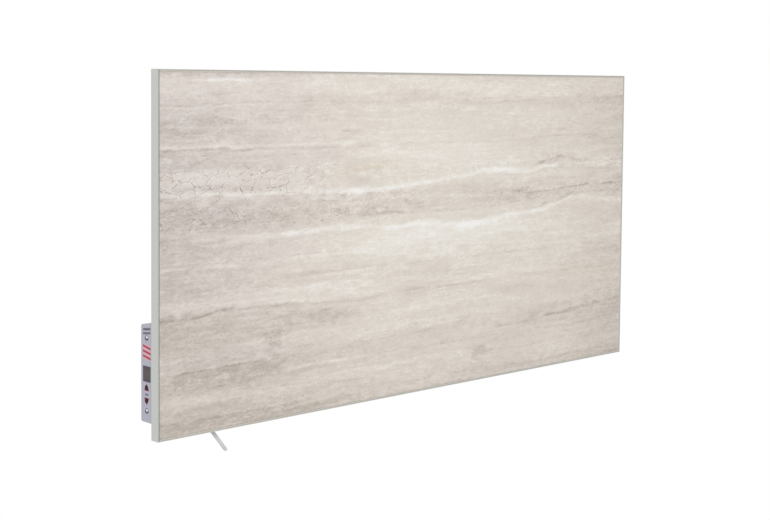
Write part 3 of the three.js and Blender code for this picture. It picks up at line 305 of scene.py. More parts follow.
class Finish:
    """A material with one Principled shader, built by adding nodes."""

    def __init__(self, name, **shader):
        self.material = bpy.data.materials.new(name)
        self.material.use_nodes = True
        self.tree = self.material.node_tree
        self.shader = self.tree.nodes["Principled BSDF"]
        self.place = self.node("ShaderNodeTexCoord", out="Object")
        self.set(**shader)

    def put(self, socket, value):
        """A wire is linked to the socket, and anything else is set as its value."""
        if isinstance(value, Wire):
            self.tree.links.new(value.socket, socket)
        else:
            socket.default_value = value

    def node(self, kind, settings=None, inputs=None, out=0):
        """A node of any kind: its settings first, then values or wires into its sockets."""
        made = self.tree.nodes.new(kind)
        for name, value in (settings or {}).items():
            setattr(made, name, value)
        for key, value in (inputs or {}).items():
            self.put(made.inputs[key], value)
        return Wire(self, made.outputs[out])

    def set(self, **sockets):
        """Values or wires for the Principled shader, by the names of its sockets."""
        for name, value in sockets.items():
            name = name.replace("_", " ").title().replace("Ior", "IOR")
            self.put(self.shader.inputs[name], value)

    def math(self, operation, *values):
        return self.node("ShaderNodeMath", {"operation": operation}, dict(enumerate(values)))

    def vector(self, operation, *values, out=0):
        inputs = dict(enumerate(values))
        return self.node("ShaderNodeVectorMath", {"operation": operation}, inputs, out)

    def distance(self, across, along):
        """The square root of across squared plus along squared."""
        place = self.node("ShaderNodeCombineXYZ", None, {0: across, 1: along})
        return self.vector("LENGTH", place, out="Value")

    def axis(self, name):
        return self.node("ShaderNodeSeparateXYZ", None, {0: self.place}, out=name)

    def stretched(self, x, y, z):
        """Places scaled by x, y and z, for a pattern finer along one axis than another."""
        return self.vector("MULTIPLY", self.place, (x, y, z))

    def noise(self, scale, detail=4.0, roughness=0.5, place=None):
        place = place or self.place
        inputs = {"Vector": place, "Scale": scale, "Detail": detail, "Roughness": roughness}
        return self.node("ShaderNodeTexNoise", None, inputs)

    def cells(self, scale, feature="F1", place=None, out="Distance"):
        inputs = {"Vector": place or self.place, "Scale": scale}
        return self.node("ShaderNodeTexVoronoi", {"feature": feature}, inputs, out)

    def flakes(self, scale):
        """One random number for each cell."""
        return self.node("ShaderNodeSeparateColor", None, {0: self.cells(scale, out="Color")})

    def mix(self, factor, first, second, blend="MIX"):
        settings = {"data_type": "RGBA", "blend_type": blend}
        return self.node("ShaderNodeMix", settings, {0: factor, 6: first, 7: second}, out=2)

    def base(self):
        """What feeds the base colour so far."""
        return Wire(self, self.shader.inputs["Base Color"].links[0].from_socket)

    def bump(self, height, strength, distance):
        inputs = {"Height": height, "Strength": strength, "Distance": distance}
        self.set(Normal=self.node("ShaderNodeBump", None, inputs))

    def colours(self, factor, stops):
        """A colour that runs through (position, colour) stops."""
        made = self.node("ShaderNodeValToRGB", None, {0: factor})
        ramp = made.socket.node.color_ramp
        while len(ramp.elements) < len(stops):
            ramp.elements.new(1.0)
        for element, (position, colour) in zip(ramp.elements, stops):
            element.position, element.color = position, colour
        return made


def give(finish, *names):
    """Puts a finish on nodes or new pieces."""
    for name in names:
        piece = bpy.data.objects[name]
        piece.data.materials.clear()
        piece.data.materials.append(finish.material)


# ---------------------------------------------------------------- tile

# Broad bands of the travertine: middle Z and half height in millimetres, how much lighter (+) or
# darker (-), and the stretch of X in millimetres where they show.
BANDS = [
    (297, 6, -0.08, -700, 700),
    (277, 15, 0.13, -700, 700),
    (250, 12, -0.08, -120, 700),
    (202, 18, -0.08, -700, -420),
    (141, 14, 0.06, -300, 330),
    (80, 10, -0.12, -330, 700),
    (58, 24, -0.17, -700, -120),
    (56, 19, -0.17, -120, 330),
    (64, 14, -0.12, 320, 700),
    (10, 13, -0.12, -700, -380),
    (-14, 24, 0.17, -190, 330),
    (-26, 20, 0.12, 330, 700),
    (-58, 10, -0.08, -480, -340),
    (-86, 14, 0.14, -700, -120),
    (-125, 25, -0.14, -700, -150),
    (-160, 13, 0.06, -180, 430),
    (-206, 25, -0.07, -700, 700),
    (-243, 9, 0.10, -700, -20),
    (-288, 12, -0.13, -700, 700),
]

# Thin streaks: points along the middle as X and Z in millimetres, half height in millimetres,
# how much lighter or darker, and how much each is broken up (0 to 1).
STREAKS = [
    ([(-640, 285), (-410, 285)], 2.2, 0.46, 0.4),
    ([(-640, 237), (-495, 243), (-340, 248), (-130, 249)], 1.8, -0.22, 0.5),
    ([(-640, 233), (-495, 239), (-380, 244)], 1.4, 0.22, 0.6),
    ([(-140, 253), (-60, 253)], 3.6, 0.36, 0.8),
    ([(110, 246), (320, 246)], 2.4, -0.24, 0.6),
    ([(-640, 168), (-420, 169), (-120, 168)], 2.0, -0.28, 0.5),
    ([(-640, 173), (-240, 175)], 1.6, 0.26, 0.8),
    ([(-80, 167), (200, 170), (430, 174), (640, 168)], 1.5, -0.22, 0.5),
    (
        [(-640, 96), (-540, 95), (-270, 90), (-100, 88), (20, 94), (100, 105), (180, 113), (260, 110)],
        4.6,
        0.31,
        0.3,
    ),
    ([(-230, 88), (-100, 86), (40, 92)], 8.0, 0.26, 0.6),
    ([(190, 112), (290, 107), (400, 121), (480, 115), (660, 121)], 3.8, 0.34, 0.35),
    ([(310, 118), (400, 134), (460, 124)], 2.6, -0.30, 0.8),
    ([(380, 122), (470, 112), (560, 124), (660, 128)], 2.0, -0.42, 0.7),
    ([(-240, 74), (-180, 70), (-120, 66), (-50, 58)], 2.4, -0.30, 0.9),
    ([(-220, 46), (-60, 40), (100, 38), (250, 48)], 2.4, -0.28, 0.8),
    ([(220, 76), (250, 70), (290, 62), (380, 64), (480, 70), (660, 73)], 2.2, -0.32, 0.7),
    ([(320, 32), (370, 40), (435, 54)], 2.2, -0.40, 0.6),
    (
        [(-480, 14), (-330, 20), (-210, 23), (-75, 13), (-10, 20), (40, 14), (130, 9), (240, 21)],
        5.0,
        0.31,
        0.25,
    ),
    ([(-90, 14), (130, 8), (210, 12)], 8.0, 0.24, 0.6),
    ([(240, 21), (300, 24), (365, 31), (430, 50), (480, 40), (660, 30)], 4.4, 0.32, 0.3),
    ([(-540, 24), (-280, 23)], 3.0, 0.18, 0.6),
    ([(-640, -19), (-480, -17), (-220, -20)], 1.5, -0.24, 0.5),
    ([(-640, -23), (-180, -25)], 1.8, 0.26, 0.6),
    ([(-300, -54), (20, -54)], 1.8, -0.22, 0.7),
    ([(110, -55), (380, -55)], 2.0, -0.22, 0.7),
    ([(-640, -100), (-548, -108), (-480, -101), (-320, -104)], 3.0, -0.26, 0.6),
    ([(-330, -104), (-100, -107), (180, -105)], 2.6, -0.28, 0.7),
    ([(-370, -97), (-260, -99)], 2.6, 0.34, 0.7),
    ([(240, -102), (420, -105), (580, -104)], 3.0, -0.14, 0.6),
    ([(-640, -190), (-520, -192), (-410, -190)], 2.2, 0.34, 0.7),
    ([(-640, -195), (-520, -197), (-410, -195)], 2.0, -0.16, 0.7),
    ([(-380, -215), (-150, -215)], 2.2, 0.34, 0.8),
    ([(-150, -240), (120, -239)], 3.0, 0.32, 0.8),
    ([(-40, -232), (100, -234)], 3.0, 0.25, 0.8),
    ([(170, -196), (290, -197), (430, -188), (480, -181), (660, -174)], 2.8, -0.30, 0.7),
    ([(-640, -272), (-500, -276), (-280, -273)], 2.0, -0.26, 0.6),
]

# Blotches: X, Z, half width and half height in millimetres, and how much lighter or darker.
BLOTCHES = [
    (-236, -132, 34, 13, -0.10),
    (-352, -154, 28, 17, -0.22),
    (160, -246, 26, 13, -0.26),
    (-420, -205, 60, 22, -0.10),
    (-205, 176, 24, 6, 0.24),
    (-520, 122, 80, 14, 0.20),
    (-330, 112, 80, 11, 0.14),
    (-160, 62, 50, 14, -0.12),
    (270, 62, 50, 10, -0.16),
    (380, 128, 50, 10, -0.14),
    (120, 66, 70, 12, 0.08),
    (60, 150, 130, 40, 0.12),
    (-530, 262, 130, 24, 0.17),
    (-200, 140, 60, 40, -0.10),
    (470, -262, 150, 44, 0.11),
]

# Sets of thin beds: a seed, how far apart their bends and the beds are in millimetres, and how
# much lighter or darker.
BEDS = [(121, 700, 22, -0.15), (131, 520, 17, 0.14), (141, 620, 13, -0.12), (151, 560, 12, 0.12)]

# Crackled and ochre fields: the stretch of X and its fade, the middle Z, the half heights where
# the field starts and ends to fade, all in millimetres, and how strong it is.
CRACKLED = [
    (-700, -255, 45, 113, 15, 33, 0.9),
    (-700, 0, 60, 60, 16, 36, 0.5),
    (120, 700, 60, 64, 14, 30, 0.45),
    (305, 700, 55, 122, 12, 24, 0.4),
]
OCHRE = [
    (-195, -75, 28, 130, 3, 9, 0.8),
    (197, 257, 18, -103, 3, 12, 0.8),
    (265, 550, 28, -104, 2, 6, 0.4),
]

PRINT = ("level", "lilac", "ochre", "crackle")  # the attributes that carry the print

# Sizes in millimetres, the depths behind the panel's front
TILE_WIDTH, TILE_HEIGHT, TILE_BEVEL, TILE_CORNER = 1192, 592, 0.8, 1.6
TILE_FRONT, TILE_BACK = 0.6, 9.6
TILE_COLUMNS, TILE_ROWS = 300, 298
TILE_HUB = 0.001  # what is left of the back's ring once it is drawn in, as a share of its size
PRINT_REACH = 640  # a band or streak that starts or ends this far out runs off the tile
STREAK_STEP, STREAK_BELL = 4.0, 17  # between samples of a streak, and samples that smooth it


def drift(x, z, wide, high, seed, octaves=3, gain=0.6):
    """Soft noise about 0: a lattice of random numbers, blended by ease(), one lattice point every
    wide by high millimetres. Each octave halves both and is gain times as strong.
    """
    total, strength, whole = 0.0, 1.0, 0.0
    for k in range(octaves):
        table = np.random.default_rng(seed + k).random((256, 256)) - 0.5
        a, b = x / wide * 2**k + 17 * k, z / high * 2**k + 31 * k
        i, j = np.floor(a).astype(int), np.floor(b).astype(int)
        u, v = ease(a - i, 0, 1), ease(b - j, 0, 1)
        low = table[j & 255, i & 255] * (1 - u) + table[j & 255, i + 1 & 255] * u
        top = table[j + 1 & 255, i & 255] * (1 - u) + table[j + 1 & 255, i + 1 & 255] * u
        total = total + strength * (low * (1 - v) + top * v)
        whole += strength
        strength *= gain
    return total / whole * 2


def stone_pattern(x, z):
    """What the print is at X and Z in millimetres: its level, lilac tint, ochre and crackle.

    level = clouds + wisps + mottle + thin beds + bands + streaks + blotches + a painted pool of light
    in the middle, drawn at a height that soft noise bends. Bands and streaks are faded at their ends.
    """
    warp = drift(x, z, 220, 60, seed=11) * 6 + drift(x, z, 40, 15, seed=21) * 2.6
    bent = z + warp
    broken = drift(x, z, 36, 8, seed=31, octaves=4)
    mottle = drift(x + warp * 3, bent, 18, 9, seed=61, gain=0.66)
    clouds, wisps = drift(x, bent, 320, 22, seed=41), drift(x, bent, 130, 6, seed=51)
    level = 0.46 + clouds * 0.12 + wisps * 0.11 + mottle * 0.13
    for seed, wide, high, amount in BEDS:
        bed = abs(drift(x, bent, wide, high, seed))
        level = level + (1 - ease(bed, 0, 0.05)) * amount * ease(broken, -0.45, 0.35)

    def stretch(start, end, fade, ragged=0):
        """1 between start and end, faded over a distance on either side of each."""
        mask = 1.0
        if start > -PRINT_REACH:
            mask = mask * ease(x + broken * ragged, start - fade, start + fade)
        if end < PRINT_REACH:
            mask = mask * (1 - ease(x + broken * ragged, end - fade, end + fade))
        return mask

    for middle, half, amount, start, end in BANDS:
        mask = 1 - ease(abs(bent + mottle * 8 - middle), half * 0.35, half * 1.5)
        level = level + mask * amount * stretch(start, end, 100, 60)
    marks = np.arange(-760, 761, STREAK_STEP)
    bell = np.hanning(STREAK_BELL) / np.hanning(STREAK_BELL).sum()
    for points, half, amount, gaps in STREAKS:
        px, pz = np.array(points, float).T
        padded = np.pad(np.interp(marks, px, pz), STREAK_BELL // 2, mode="edge")
        line = np.convolve(padded, bell, "valid")
        width = half * (1 + 0.9 * drift(x, z, 60, 200, seed=int(pz[0]) + 900, octaves=2))
        off = abs(z + warp * 0.8 + mottle * 2.8 - np.interp(x, marks, line))
        mask = 1 - ease(off, width * 0.2, width * 1.6)
        mask = mask * (1 - gaps * (1 - ease(broken, -0.25, 0.25)))
        level = level + mask * amount * stretch(px[0], px[-1], 45, 30)
    for bx, bz, wide, high, amount in BLOTCHES:
        far = ((x - bx) / wide) ** 2 + ((bent - bz) / high) ** 2
        level = level + amount * (1 - ease(far + mottle * 2.8, 0, 2.2))
    # A painted pool of light in the middle; the level is also lowered towards the bottom, the right
    # and the left.
    painted_light_pool = ((x - 30) / 560) ** 2 + ((z - 40) / 420) ** 2
    level = level + 0.28 * (1 - ease(painted_light_pool, 0, 1.6)) - 0.14 * ease(-z, -20, 300)
    level = level - 0.07 * ease(x, 250, 620)
    level = level - ease(-x, 100, 420) * (0.07 + 0.10 * ease(z, -240, 0))

    def fields(table):
        """The sum of a table's fields, each drawn as stretch() across and faded up and down."""
        total = 0.0
        for start, end, fade, middle, half, soft, amount in table:
            near = 1 - ease(abs(bent - middle), half, soft)
            total = total + stretch(start, end, fade) * near * amount
        return total

    crackle = fields(CRACKLED)
    ochre = fields(OCHRE) * ease(broken + mottle * 0.6, -0.6, 0.3)
    lilac = (1 - ease(x, -560, -60)) * (0.35 + 0.45 * ease(z, -150, 100))
    lilac = lilac + drift(x, z, 260, 30, seed=111) * 0.3
    return level + crackle * mottle * 0.2, np.clip(lilac, 0, 1), ochre, crackle


def stone_tile():
    """The front tile as a grid that carries its print as attributes.

    Columns and rows are even across the front. The outermost ring drops by the bevel, its corners
    are drawn in by r (1 - 1/sqrt 2), and the side wall and the back are the same ring carried back
    and then drawn in to the middle.
    """

    def marks(size, count):
        inside = np.linspace(-size / 2 + TILE_BEVEL, size / 2 - TILE_BEVEL, count - 1)
        return np.concatenate([[-size / 2], inside, [size / 2]])

    columns, rows = marks(TILE_WIDTH, TILE_COLUMNS), marks(TILE_HEIGHT, TILE_ROWS)
    x, z = np.meshgrid(columns, rows)
    depth = np.full_like(x, TILE_FRONT)
    rim = np.zeros(x.shape, bool)
    rim[[0, -1], :] = rim[:, [0, -1]] = True
    depth[rim] += TILE_BEVEL
    corner = TILE_CORNER * (1 - 0.5**0.5)
    for i in (0, -1):
        for j in (0, -1):
            x[i, j] -= np.sign(x[i, j]) * corner
            z[i, j] -= np.sign(z[i, j]) * corner
    number = np.arange(x.size).reshape(x.shape)
    edges = number[0, :-1], number[:-1, -1], number[-1, :0:-1], number[:0:-1, 0]
    ring = np.concatenate(edges)
    cells = number[:-1, :-1], number[:-1, 1:], number[1:, 1:], number[1:, :-1]
    front = np.stack(cells, -1).reshape(-1, 4)
    flat_x, flat_z = x.ravel(), z.ravel()
    back = np.stack([flat_x[ring], np.full(len(ring), TILE_BACK), flat_z[ring]], -1)
    centre = back * (TILE_HUB, 1, TILE_HUB)
    points = np.vstack([np.stack([flat_x, depth.ravel(), flat_z], -1), back, centre])
    faces = [front]
    rings = [ring, x.size + np.arange(len(ring)), x.size + len(ring) + np.arange(len(ring))]
    for a, b in zip(rings, rings[1:]):
        faces.append(np.stack([a, b, np.roll(b, -1), np.roll(a, -1)], -1))
    tile = link_mesh("stone_tile", in_frame(points), np.vstack(faces), smooth=False)
    for name, values in zip(PRINT, stone_pattern(points[:, 0], points[:, 2])):
        store = tile.data.attributes.new(name, "FLOAT", "POINT")
        store.data.foreach_set("value", np.asarray(values, np.float32))
    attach(tile, "panel")
    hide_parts("front_tile")


def travertine():
    """Printed travertine: the tile's own level and tints, with fine grain, pores and crackle."""
    f = Finish("travertine_tile", ior=1.45)
    level, lilac, ochre, crackle = (
        f.node("ShaderNodeAttribute", {"attribute_name": name}, out="Fac") for name in PRINT
    )
    grain = f.noise(1.0, 4, 0.7, place=f.stretched(120, 120, 240)) - 0.5
    specks = f.noise(1.0, 2, 0.6, place=f.stretched(230, 230, 380)) - 0.5
    pale_curls = abs(f.noise(1.0, 4, 0.6, place=f.stretched(36, 36, 95)) - 0.5)
    dark_curls = abs(f.noise(1.0, 4, 0.6, place=f.stretched(30, 30, 80)) - 0.5)
    patches = f.noise(1.0, 3, 0.6, place=f.stretched(8, 8, 50))
    wander = f.noise(1.0, 3, 0.7, place=f.stretched(50, 50, 90)) - 0.5
    plates = f.vector("ADD", f.stretched(34, 34, 60), wander * 2.6)
    ridge = f.cells(1.0, "DISTANCE_TO_EDGE", place=plates)
    level = level + grain * 0.54
    level = level + specks.ramp(0.06, 0.22) * 0.18 - specks.ramp(-0.08, -0.24) * 0.12
    level = level + pale_curls.ramp(0.01, 0.06, 1, 0) * patches.ramp(0.36, 0.60) * 0.21
    level = level - dark_curls.ramp(0.0, 0.04, 1, 0) * patches.ramp(0.60, 0.40) * 0.11
    halo, crack = ridge.ramp(0.05, 0.16, 1, 0), ridge.ramp(0.0, 0.055, 1, 0)
    level = level + (halo * 0.26 - crack * 0.95) * crackle
    stone = f.colours(
        level.ramp(-0.4, 1.5, shape="LINEAR"),
        [
            (0.05, tone(152, 141, 130)),
            (0.21, tone(178, 167, 157)),
            (0.34, tone(197, 188, 177)),
            (0.47, tone(213, 204, 194)),
            (0.61, tone(223, 215, 204)),
            (0.74, tone(232, 227, 219)),
            (0.95, tone(242, 241, 238)),
        ],
    )
    stone = f.mix(lilac, stone, f.mix(1.0, stone, (0.983, 0.985, 1.052, 1), "MULTIPLY"))
    stone = f.mix(ochre * 0.5, stone, tone(219, 201, 173))
    f.set(base_color=stone, roughness=0.42 + grain * 0.2)
    f.bump(grain, 0.10, 0.0003)
    return f


# ---------------------------------------------------------------- other finishes

# The control box's outer face, in millimetres: the X past which its marks show, its middle line,
# the painted highlights on its screws, the window with its two figures, and the printed marks.
FASCIA_X, FASCIA_Y = -596.3, -33.4
PAINTED_HIGHLIGHT_Y, PAINTED_HIGHLIGHTS_Z = -34.9, (-134.3, -254.0)
WINDOW_Z, FIGURES_Y = -194.5, (-4.1, 4.1)
RULES = [(10.5, -123.0, -119.0, 0.13), (10.5, -129.3, -126.0, 0.13), (5.0, -229.8, -226.8)]
STROKES_Z, STROKE_HALF, STROKE_SLOPE = (-150.6, -158.8, -167.0), 1.9, -0.17
TRIANGLES_Z, TRIANGLE_HALF = [(-209.6, -222.2), (-246.2, -233.6)], 7.4  # apex and base


def shifted(colour, amount):
    """The tone of a colour whose 8-bit values are raised (+) or lowered (-), but not below 0."""
    return tone(*(max(c + amount, 0) for c in colour))


def frame_coat():
    """Powder coat: a fine orange-peel bump and a faint cloud of tone. Painted shade makes it a little
    darker on the frame's narrow front edge, most of all on the left.
    """
    f = Finish("frame_coat", ior=1.5)
    peel = f.noise(900, 2)
    colour = (200, 203, 197)
    plain = f.mix(f.noise(6, 2) * 0.5, tone(*colour), shifted(colour, -6))
    # Painted shade: darker on the front edge, and darker still down the left side.
    edge = f.axis("Y").ramp(-69.5 * MM, -69.9 * MM)
    left = f.axis("X").ramp(-597.8 * MM, -598.2 * MM)
    wear_and_painted_shade = f.mix(left, tone(190, 188, 181), tone(178, 179, 173))
    f.set(base_color=f.mix(edge, plain, wear_and_painted_shade), roughness=0.40 + peel * 0.16)
    f.bump(peel, 0.25, 0.00012)
    return f


def moulded(name, colour, roughness=0.45, grain=1400, sparkle=0.3):
    """Moulded plastic with a fine spark-eroded texture."""
    f = Finish(name, ior=1.46)
    grains = f.noise(grain, 3, 0.6)
    f.set(base_color=f.mix(f.noise(9, 2) * 0.6, tone(*colour), shifted(colour, -8)))
    f.set(roughness=roughness + (grains - 0.5) * 0.2)
    f.bump(grains, sparkle, 0.0001)
    return f


def rubber(name, colour, lift):
    """Matt rubber or sealant, with a fine grain that is lighter by lift."""
    f = Finish(name, ior=1.5)
    grains = f.noise(500, 4, 0.6)
    f.set(base_color=f.mix(grains, tone(*colour), shifted(colour, lift)))
    f.set(roughness=0.72 + grains * 0.16)
    f.bump(grains, 0.3, 0.0001)
    return f


def edge_sealant():
    """Pale sealant in the groove round the tile, with painted shade down the left side."""
    f = rubber("edge_sealant", (204, 199, 191), 8)
    # Painted shade: the sealant is darker down the left side.
    left = f.axis("X").ramp(-595.1 * MM, -595.9 * MM)
    f.set(base_color=f.mix(left, f.base(), tone(158, 155, 149)))
    return f


def galvanised_sheet():
    """Zinc-coated sheet: small flat crystals, each with its own grey and gloss."""
    f = Finish("galvanised_sheet", metallic=0.85)
    grey = f.flakes(150)
    scratches = f.noise(1.0, 4, 0.6, place=f.stretched(20, 200, 700))
    cloud = f.noise(9, 3)
    f.set(base_color=f.mix(grey * 0.7 + cloud * 0.3, tone(182, 186, 188), tone(206, 209, 210)))
    f.set(roughness=0.36 + grey * 0.10 + scratches * 0.10)
    f.bump(scratches, 0.10, 0.0001)
    return f


def turned_steel(name, colour=(196, 196, 193)):
    """Zinc-plated screw steel: a little cloudy, with fine marks."""
    f = Finish(name, metallic=1.0)
    marks = f.noise(2600, 2)
    f.set(base_color=f.mix(f.noise(420, 3), tone(*colour), shifted(colour, -34)))
    f.set(roughness=0.26 + marks * 0.18)
    f.bump(marks, 0.15, 0.00008)
    return f


def screw_with_painted_highlight():
    """Screw steel painted dark grey as shade on the heads, with a painted highlight towards the front
    of each head.
    """
    # The dark grey is painted shade on the heads.
    f = turned_steel("fascia_screw_steel", (104, 104, 106))
    y, z = f.axis("Y") - PAINTED_HIGHLIGHT_Y * MM, f.axis("Z")
    # A painted highlight towards the front of each head.
    painted_highlight = 0.0
    for middle in PAINTED_HIGHLIGHTS_Z:
        painted_highlight = f.distance(y, z - middle * MM).ramp(1.4 * MM, 3.0 * MM, 1, 0) + painted_highlight
    f.set(base_color=f.mix(painted_highlight, f.base(), tone(232, 232, 230)))
    return f


def mineral_wool():
    """Matted yellowish fibres, drawn out level."""
    f = Finish("mineral_wool", roughness=0.95)
    strands = f.noise(1.0, 6, 0.7, place=f.stretched(160, 160, 420))
    f.set(base_color=f.mix(strands.ramp(0.3, 0.7), tone(186, 170, 122), tone(222, 210, 168)))
    f.bump(strands, 0.8, 0.0006)
    return f


def mica():
    """Mica sheet: flakes, each with its own buff tone and gloss."""
    f = Finish("mica")
    grey = f.flakes(160)
    f.set(base_color=f.mix(grey, tone(170, 152, 118), tone(202, 186, 150)))
    f.set(roughness=0.35 + grey * 0.3)
    f.bump(grey, 0.15, 0.0001)
    return f


def metal_foil(name, colour, roughness):
    """Thin metal foil with soft creases."""
    f = Finish(name, metallic=1.0)
    creases = f.noise(40, 5, 0.6)
    f.set(base_color=f.mix(creases, tone(*colour), shifted(colour, -26)))
    f.set(roughness=roughness + creases * 0.15)
    f.bump(creases, 0.25, 0.0005)
    return f


def circuit_board():
    """Green board with lighter tracks along it and rows of pads."""
    f = Finish("circuit_board")
    tracks = abs(f.math("FRACT", f.axis("Y") * 420) - 0.5).ramp(0.16, 0.2, 1, 0)
    lanes = f.noise(1.0, 1, place=f.stretched(0, 60, 30)).ramp(0.5, 0.54)
    pads = f.cells(260).ramp(0.10, 0.16, 1, 0)
    green = f.mix(tracks * lanes, tone(28, 92, 48), tone(54, 132, 74))
    f.set(base_color=f.mix(pads * 0.7, green, tone(200, 190, 150)), roughness=0.30 + lanes * 0.1)
    f.bump(tracks * lanes + pads, 0.2, 0.00005)
    return f


def smoked_lens():
    """Dark glossy window, with two unlit figures that just show behind it."""
    f = Finish("smoked_lens", coat_weight=0.1, coat_roughness=0.04)
    y, z = f.axis("Y") - FASCIA_Y * MM, f.axis("Z") - WINDOW_Z * MM
    along = abs(z)
    lit = 0.0
    for offset in FIGURES_Y:
        across = abs(y - offset * MM)
        bars = abs(along - 5.4 * MM).ramp(0.5 * MM, 0.8 * MM, 1, 0)
        bars = bars.greater(along.ramp(0.5 * MM, 0.8 * MM, 1, 0))
        bars = bars * across.ramp(1.9 * MM, 2.2 * MM, 1, 0)
        posts = abs(across - 2.7 * MM).ramp(0.4 * MM, 0.7 * MM, 1, 0)
        posts = posts * abs(along - 2.7 * MM).ramp(2.1 * MM, 2.4 * MM, 1, 0)
        lit = bars.greater(posts) + lit
    haze = f.noise(60, 3)
    glass = f.mix(haze * 0.5, tone(50, 34, 44), tone(60, 44, 52))
    rim = (abs(y) - 9.6 * MM).greater(along - 11.4 * MM).ramp(-0.2 * MM, 0.3 * MM)
    glass = f.mix(rim * 0.8, glass, tone(38, 33, 42))
    f.set(base_color=f.mix(lit.lesser(1) * 0.35, glass, tone(116, 98, 104)))
    f.set(roughness=0.07 + haze * 0.05)
    return f


def control_plastic():
    """Lavender-grey plastic of the control box, with its printed marks on the outer face:
    two rules, three red slanted strokes, a dark triangle edged in red round each button and a
    short rule.
    """
    f = moulded("control_plastic", (184, 184, 197), 0.42, 1500, 0.25)
    f.set(specular_ior_level=0.25)
    x, y, z = f.axis("X"), f.axis("Y") - FASCIA_Y * MM, f.axis("Z")
    outer = x.ramp(FASCIA_X * MM, (FASCIA_X - 0.5) * MM)
    soft = 0.15 * MM

    def box(wide, low, high, slope=0.0):
        """A mark of half width wide between two heights, slanted by slope."""
        across = abs(y).ramp(wide * MM - soft, wide * MM + soft, 1, 0)
        middle, half = (low + high) / 2 * MM, (high - low) / 2 * MM
        return across * abs(z + y * slope - middle).ramp(half - soft, half + soft, 1, 0)

    rules, red, dark = 0.0, 0.0, 0.0
    for rule in RULES:
        rules = box(*rule) + rules
    glow = box(11.5, STROKES_Z[-1] - 4.5, STROKES_Z[0] + 4.1, STROKE_SLOPE)
    for middle in STROKES_Z:
        red = box(11.2, middle - STROKE_HALF, middle + STROKE_HALF, STROKE_SLOPE) + red
    for apex, base in TRIANGLES_Z:
        reach = abs(z - apex * MM) * (TRIANGLE_HALF / abs(apex - base))
        low, high = min(apex, base), max(apex, base)
        red = red + (reach - abs(y)).ramp(-soft, soft) * box(9, low, high)
        inner = (reach - abs(y - 1.2 * MM)).ramp(1.1 * MM, 1.5 * MM)
        inner = inner * box(9, low + 0.9, high - 0.9)
        disc = f.distance(y - 1.0 * MM, z - (apex + 1.6 * base) / 2.6 * MM)
        dark = dark + inner.greater(disc.ramp(4.6 * MM, 5.0 * MM, 1, 0))
    wear_and_painted_shade = f.noise(700, 3).ramp(0.3, 0.5, 0.85, 1)
    ink = f.mix(glow * outer * 0.6, f.base(), tone(236, 172, 184))
    ink = f.mix(rules.lesser(1) * outer * wear_and_painted_shade, ink, tone(104, 101, 115))
    ink = f.mix(red.lesser(1) * outer * wear_and_painted_shade, ink, tone(176, 60, 76))
    f.set(base_color=f.mix(dark.lesser(1) * outer, ink, tone(52, 4, 18)))
    return f


def sleeve(name, colour):
    """Smooth sleeving of a wire."""
    return moulded(name, colour, 0.4, 600, 0.1)


stone_tile()
give(travertine(), "stone_tile")
give(frame_coat(), "frame_left", "frame_right", "frame_top", "frame_bottom")
give(edge_sealant(), "edge_seal")
give(rubber("grommet_rubber", (38, 38, 38), 14), "lead_grommet")
corner_keys = [f"corner_key_{i}" for i in range(1, 5)]
give(galvanised_sheet(), "rear_cover", "mount_rail_left", "mount_rail_right", *corner_keys)
cover_screws = [f"cover_screw_{i}" for i in range(1, 7)]
rail_screws = [f"rail_screw_{i}" for i in range(1, 5)]
give(turned_steel("screw_steel"), *cover_screws, *rail_screws, "box_screw_1", "box_screw_2")
give(screw_with_painted_highlight(), "fascia_screw_1", "fascia_screw_2")
give(metal_foil("heating_foil", (150, 138, 120), 0.35), "heating_element")
give(metal_foil("reflector_foil", (222, 223, 224), 0.15), "reflector_sheet")
give(mica(), "mica_sheet")
give(mineral_wool(), "insulation_board")
give(control_plastic(), "control_housing", "fascia_plate")
give(smoked_lens(), "display_lens")
buttons = moulded("button_plastic", (50, 5, 16), 0.35, 900, 0.1)
buttons.set(specular_ior_level=0.2)
give(buttons, "button_up", "button_down")
give(circuit_board(), "control_board")
give(moulded("black_plastic", (40, 40, 43), 0.4), "thermal_cutout", "power_relay", "tact_switch_up")
give(moulded("switch_plastic", (46, 46, 50), 0.4), "tact_switch_down", "cord_tie")
give(moulded("white_plastic", (226, 226, 221), 0.4), "display_module", "terminal_block", "tie_anchor")
give(turned_steel("nickel", (214, 209, 198)), "temperature_probe", "plug_pin_1", "plug_pin_2")
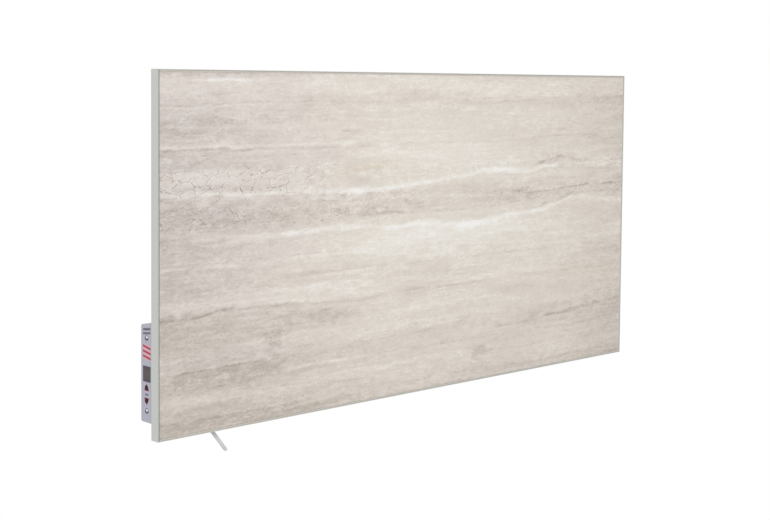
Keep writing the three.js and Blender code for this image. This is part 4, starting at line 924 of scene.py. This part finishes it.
give(sleeve("live_sleeve", (150, 62, 44)), "core_live", "heater_lead_1")
give(sleeve("neutral_sleeve", (52, 88, 160)), "core_neutral", "heater_lead_2")
give(sleeve("earth_sleeve", (150, 170, 60)), "core_earth")
cord_sheath = moulded("cord_sheath", (208, 210, 208), 0.4, 500, 0.12)
give(cord_sheath, "mains_cord", "strain_relief", "plug_body")

# ---------------------------------------------------------------- light

DOME_STRENGTH = 0.80
LAMP_PLACE, LAMP_SIZE, LAMP_POWER = (-1.7, -2.4, 1.5), (2.4, 1.8), 29


def set_light():
    """White behind the object and in its reflections, an even grey dome as its light, and one
    broad soft lamp from the upper left front, turned to the middle of the panel.
    """
    world = bpy.data.worlds.new("studio")
    world.use_nodes = True
    nodes, links = world.node_tree.nodes, world.node_tree.links
    seen = nodes["Background"]
    seen.inputs["Color"].default_value = (1, 1, 1, 1)
    dome = nodes.new("ShaderNodeBackground")
    dome.inputs["Color"].default_value = (1, 1, 1, 1)
    dome.inputs["Strength"].default_value = DOME_STRENGTH
    path = nodes.new("ShaderNodeLightPath")
    white = path.outputs["Is Camera Ray"]
    for ray in ("Is Glossy Ray", "Is Transmission Ray"):
        either = nodes.new("ShaderNodeMath")
        either.operation = "MAXIMUM"
        links.new(white, either.inputs[0])
        links.new(path.outputs[ray], either.inputs[1])
        white = either.outputs[0]
    choose = nodes.new("ShaderNodeMixShader")
    links.new(white, choose.inputs[0])
    links.new(dome.outputs[0], choose.inputs[1])
    links.new(seen.outputs[0], choose.inputs[2])
    links.new(choose.outputs[0], nodes["World Output"].inputs["Surface"])
    scene.world = world
    data = bpy.data.lights.new("soft_lamp", "AREA")
    data.shape = "RECTANGLE"
    data.size, data.size_y = LAMP_SIZE
    data.energy = LAMP_POWER
    lamp = bpy.data.objects.new("soft_lamp", data)
    scene.collection.objects.link(lamp)
    lamp.location = LAMP_PLACE
    lamp.rotation_mode = "QUATERNION"
    lamp.rotation_quaternion = (-Vector(LAMP_PLACE)).to_track_quat("-Z", "Y")


set_light()
scene.view_settings.view_transform = "Standard"
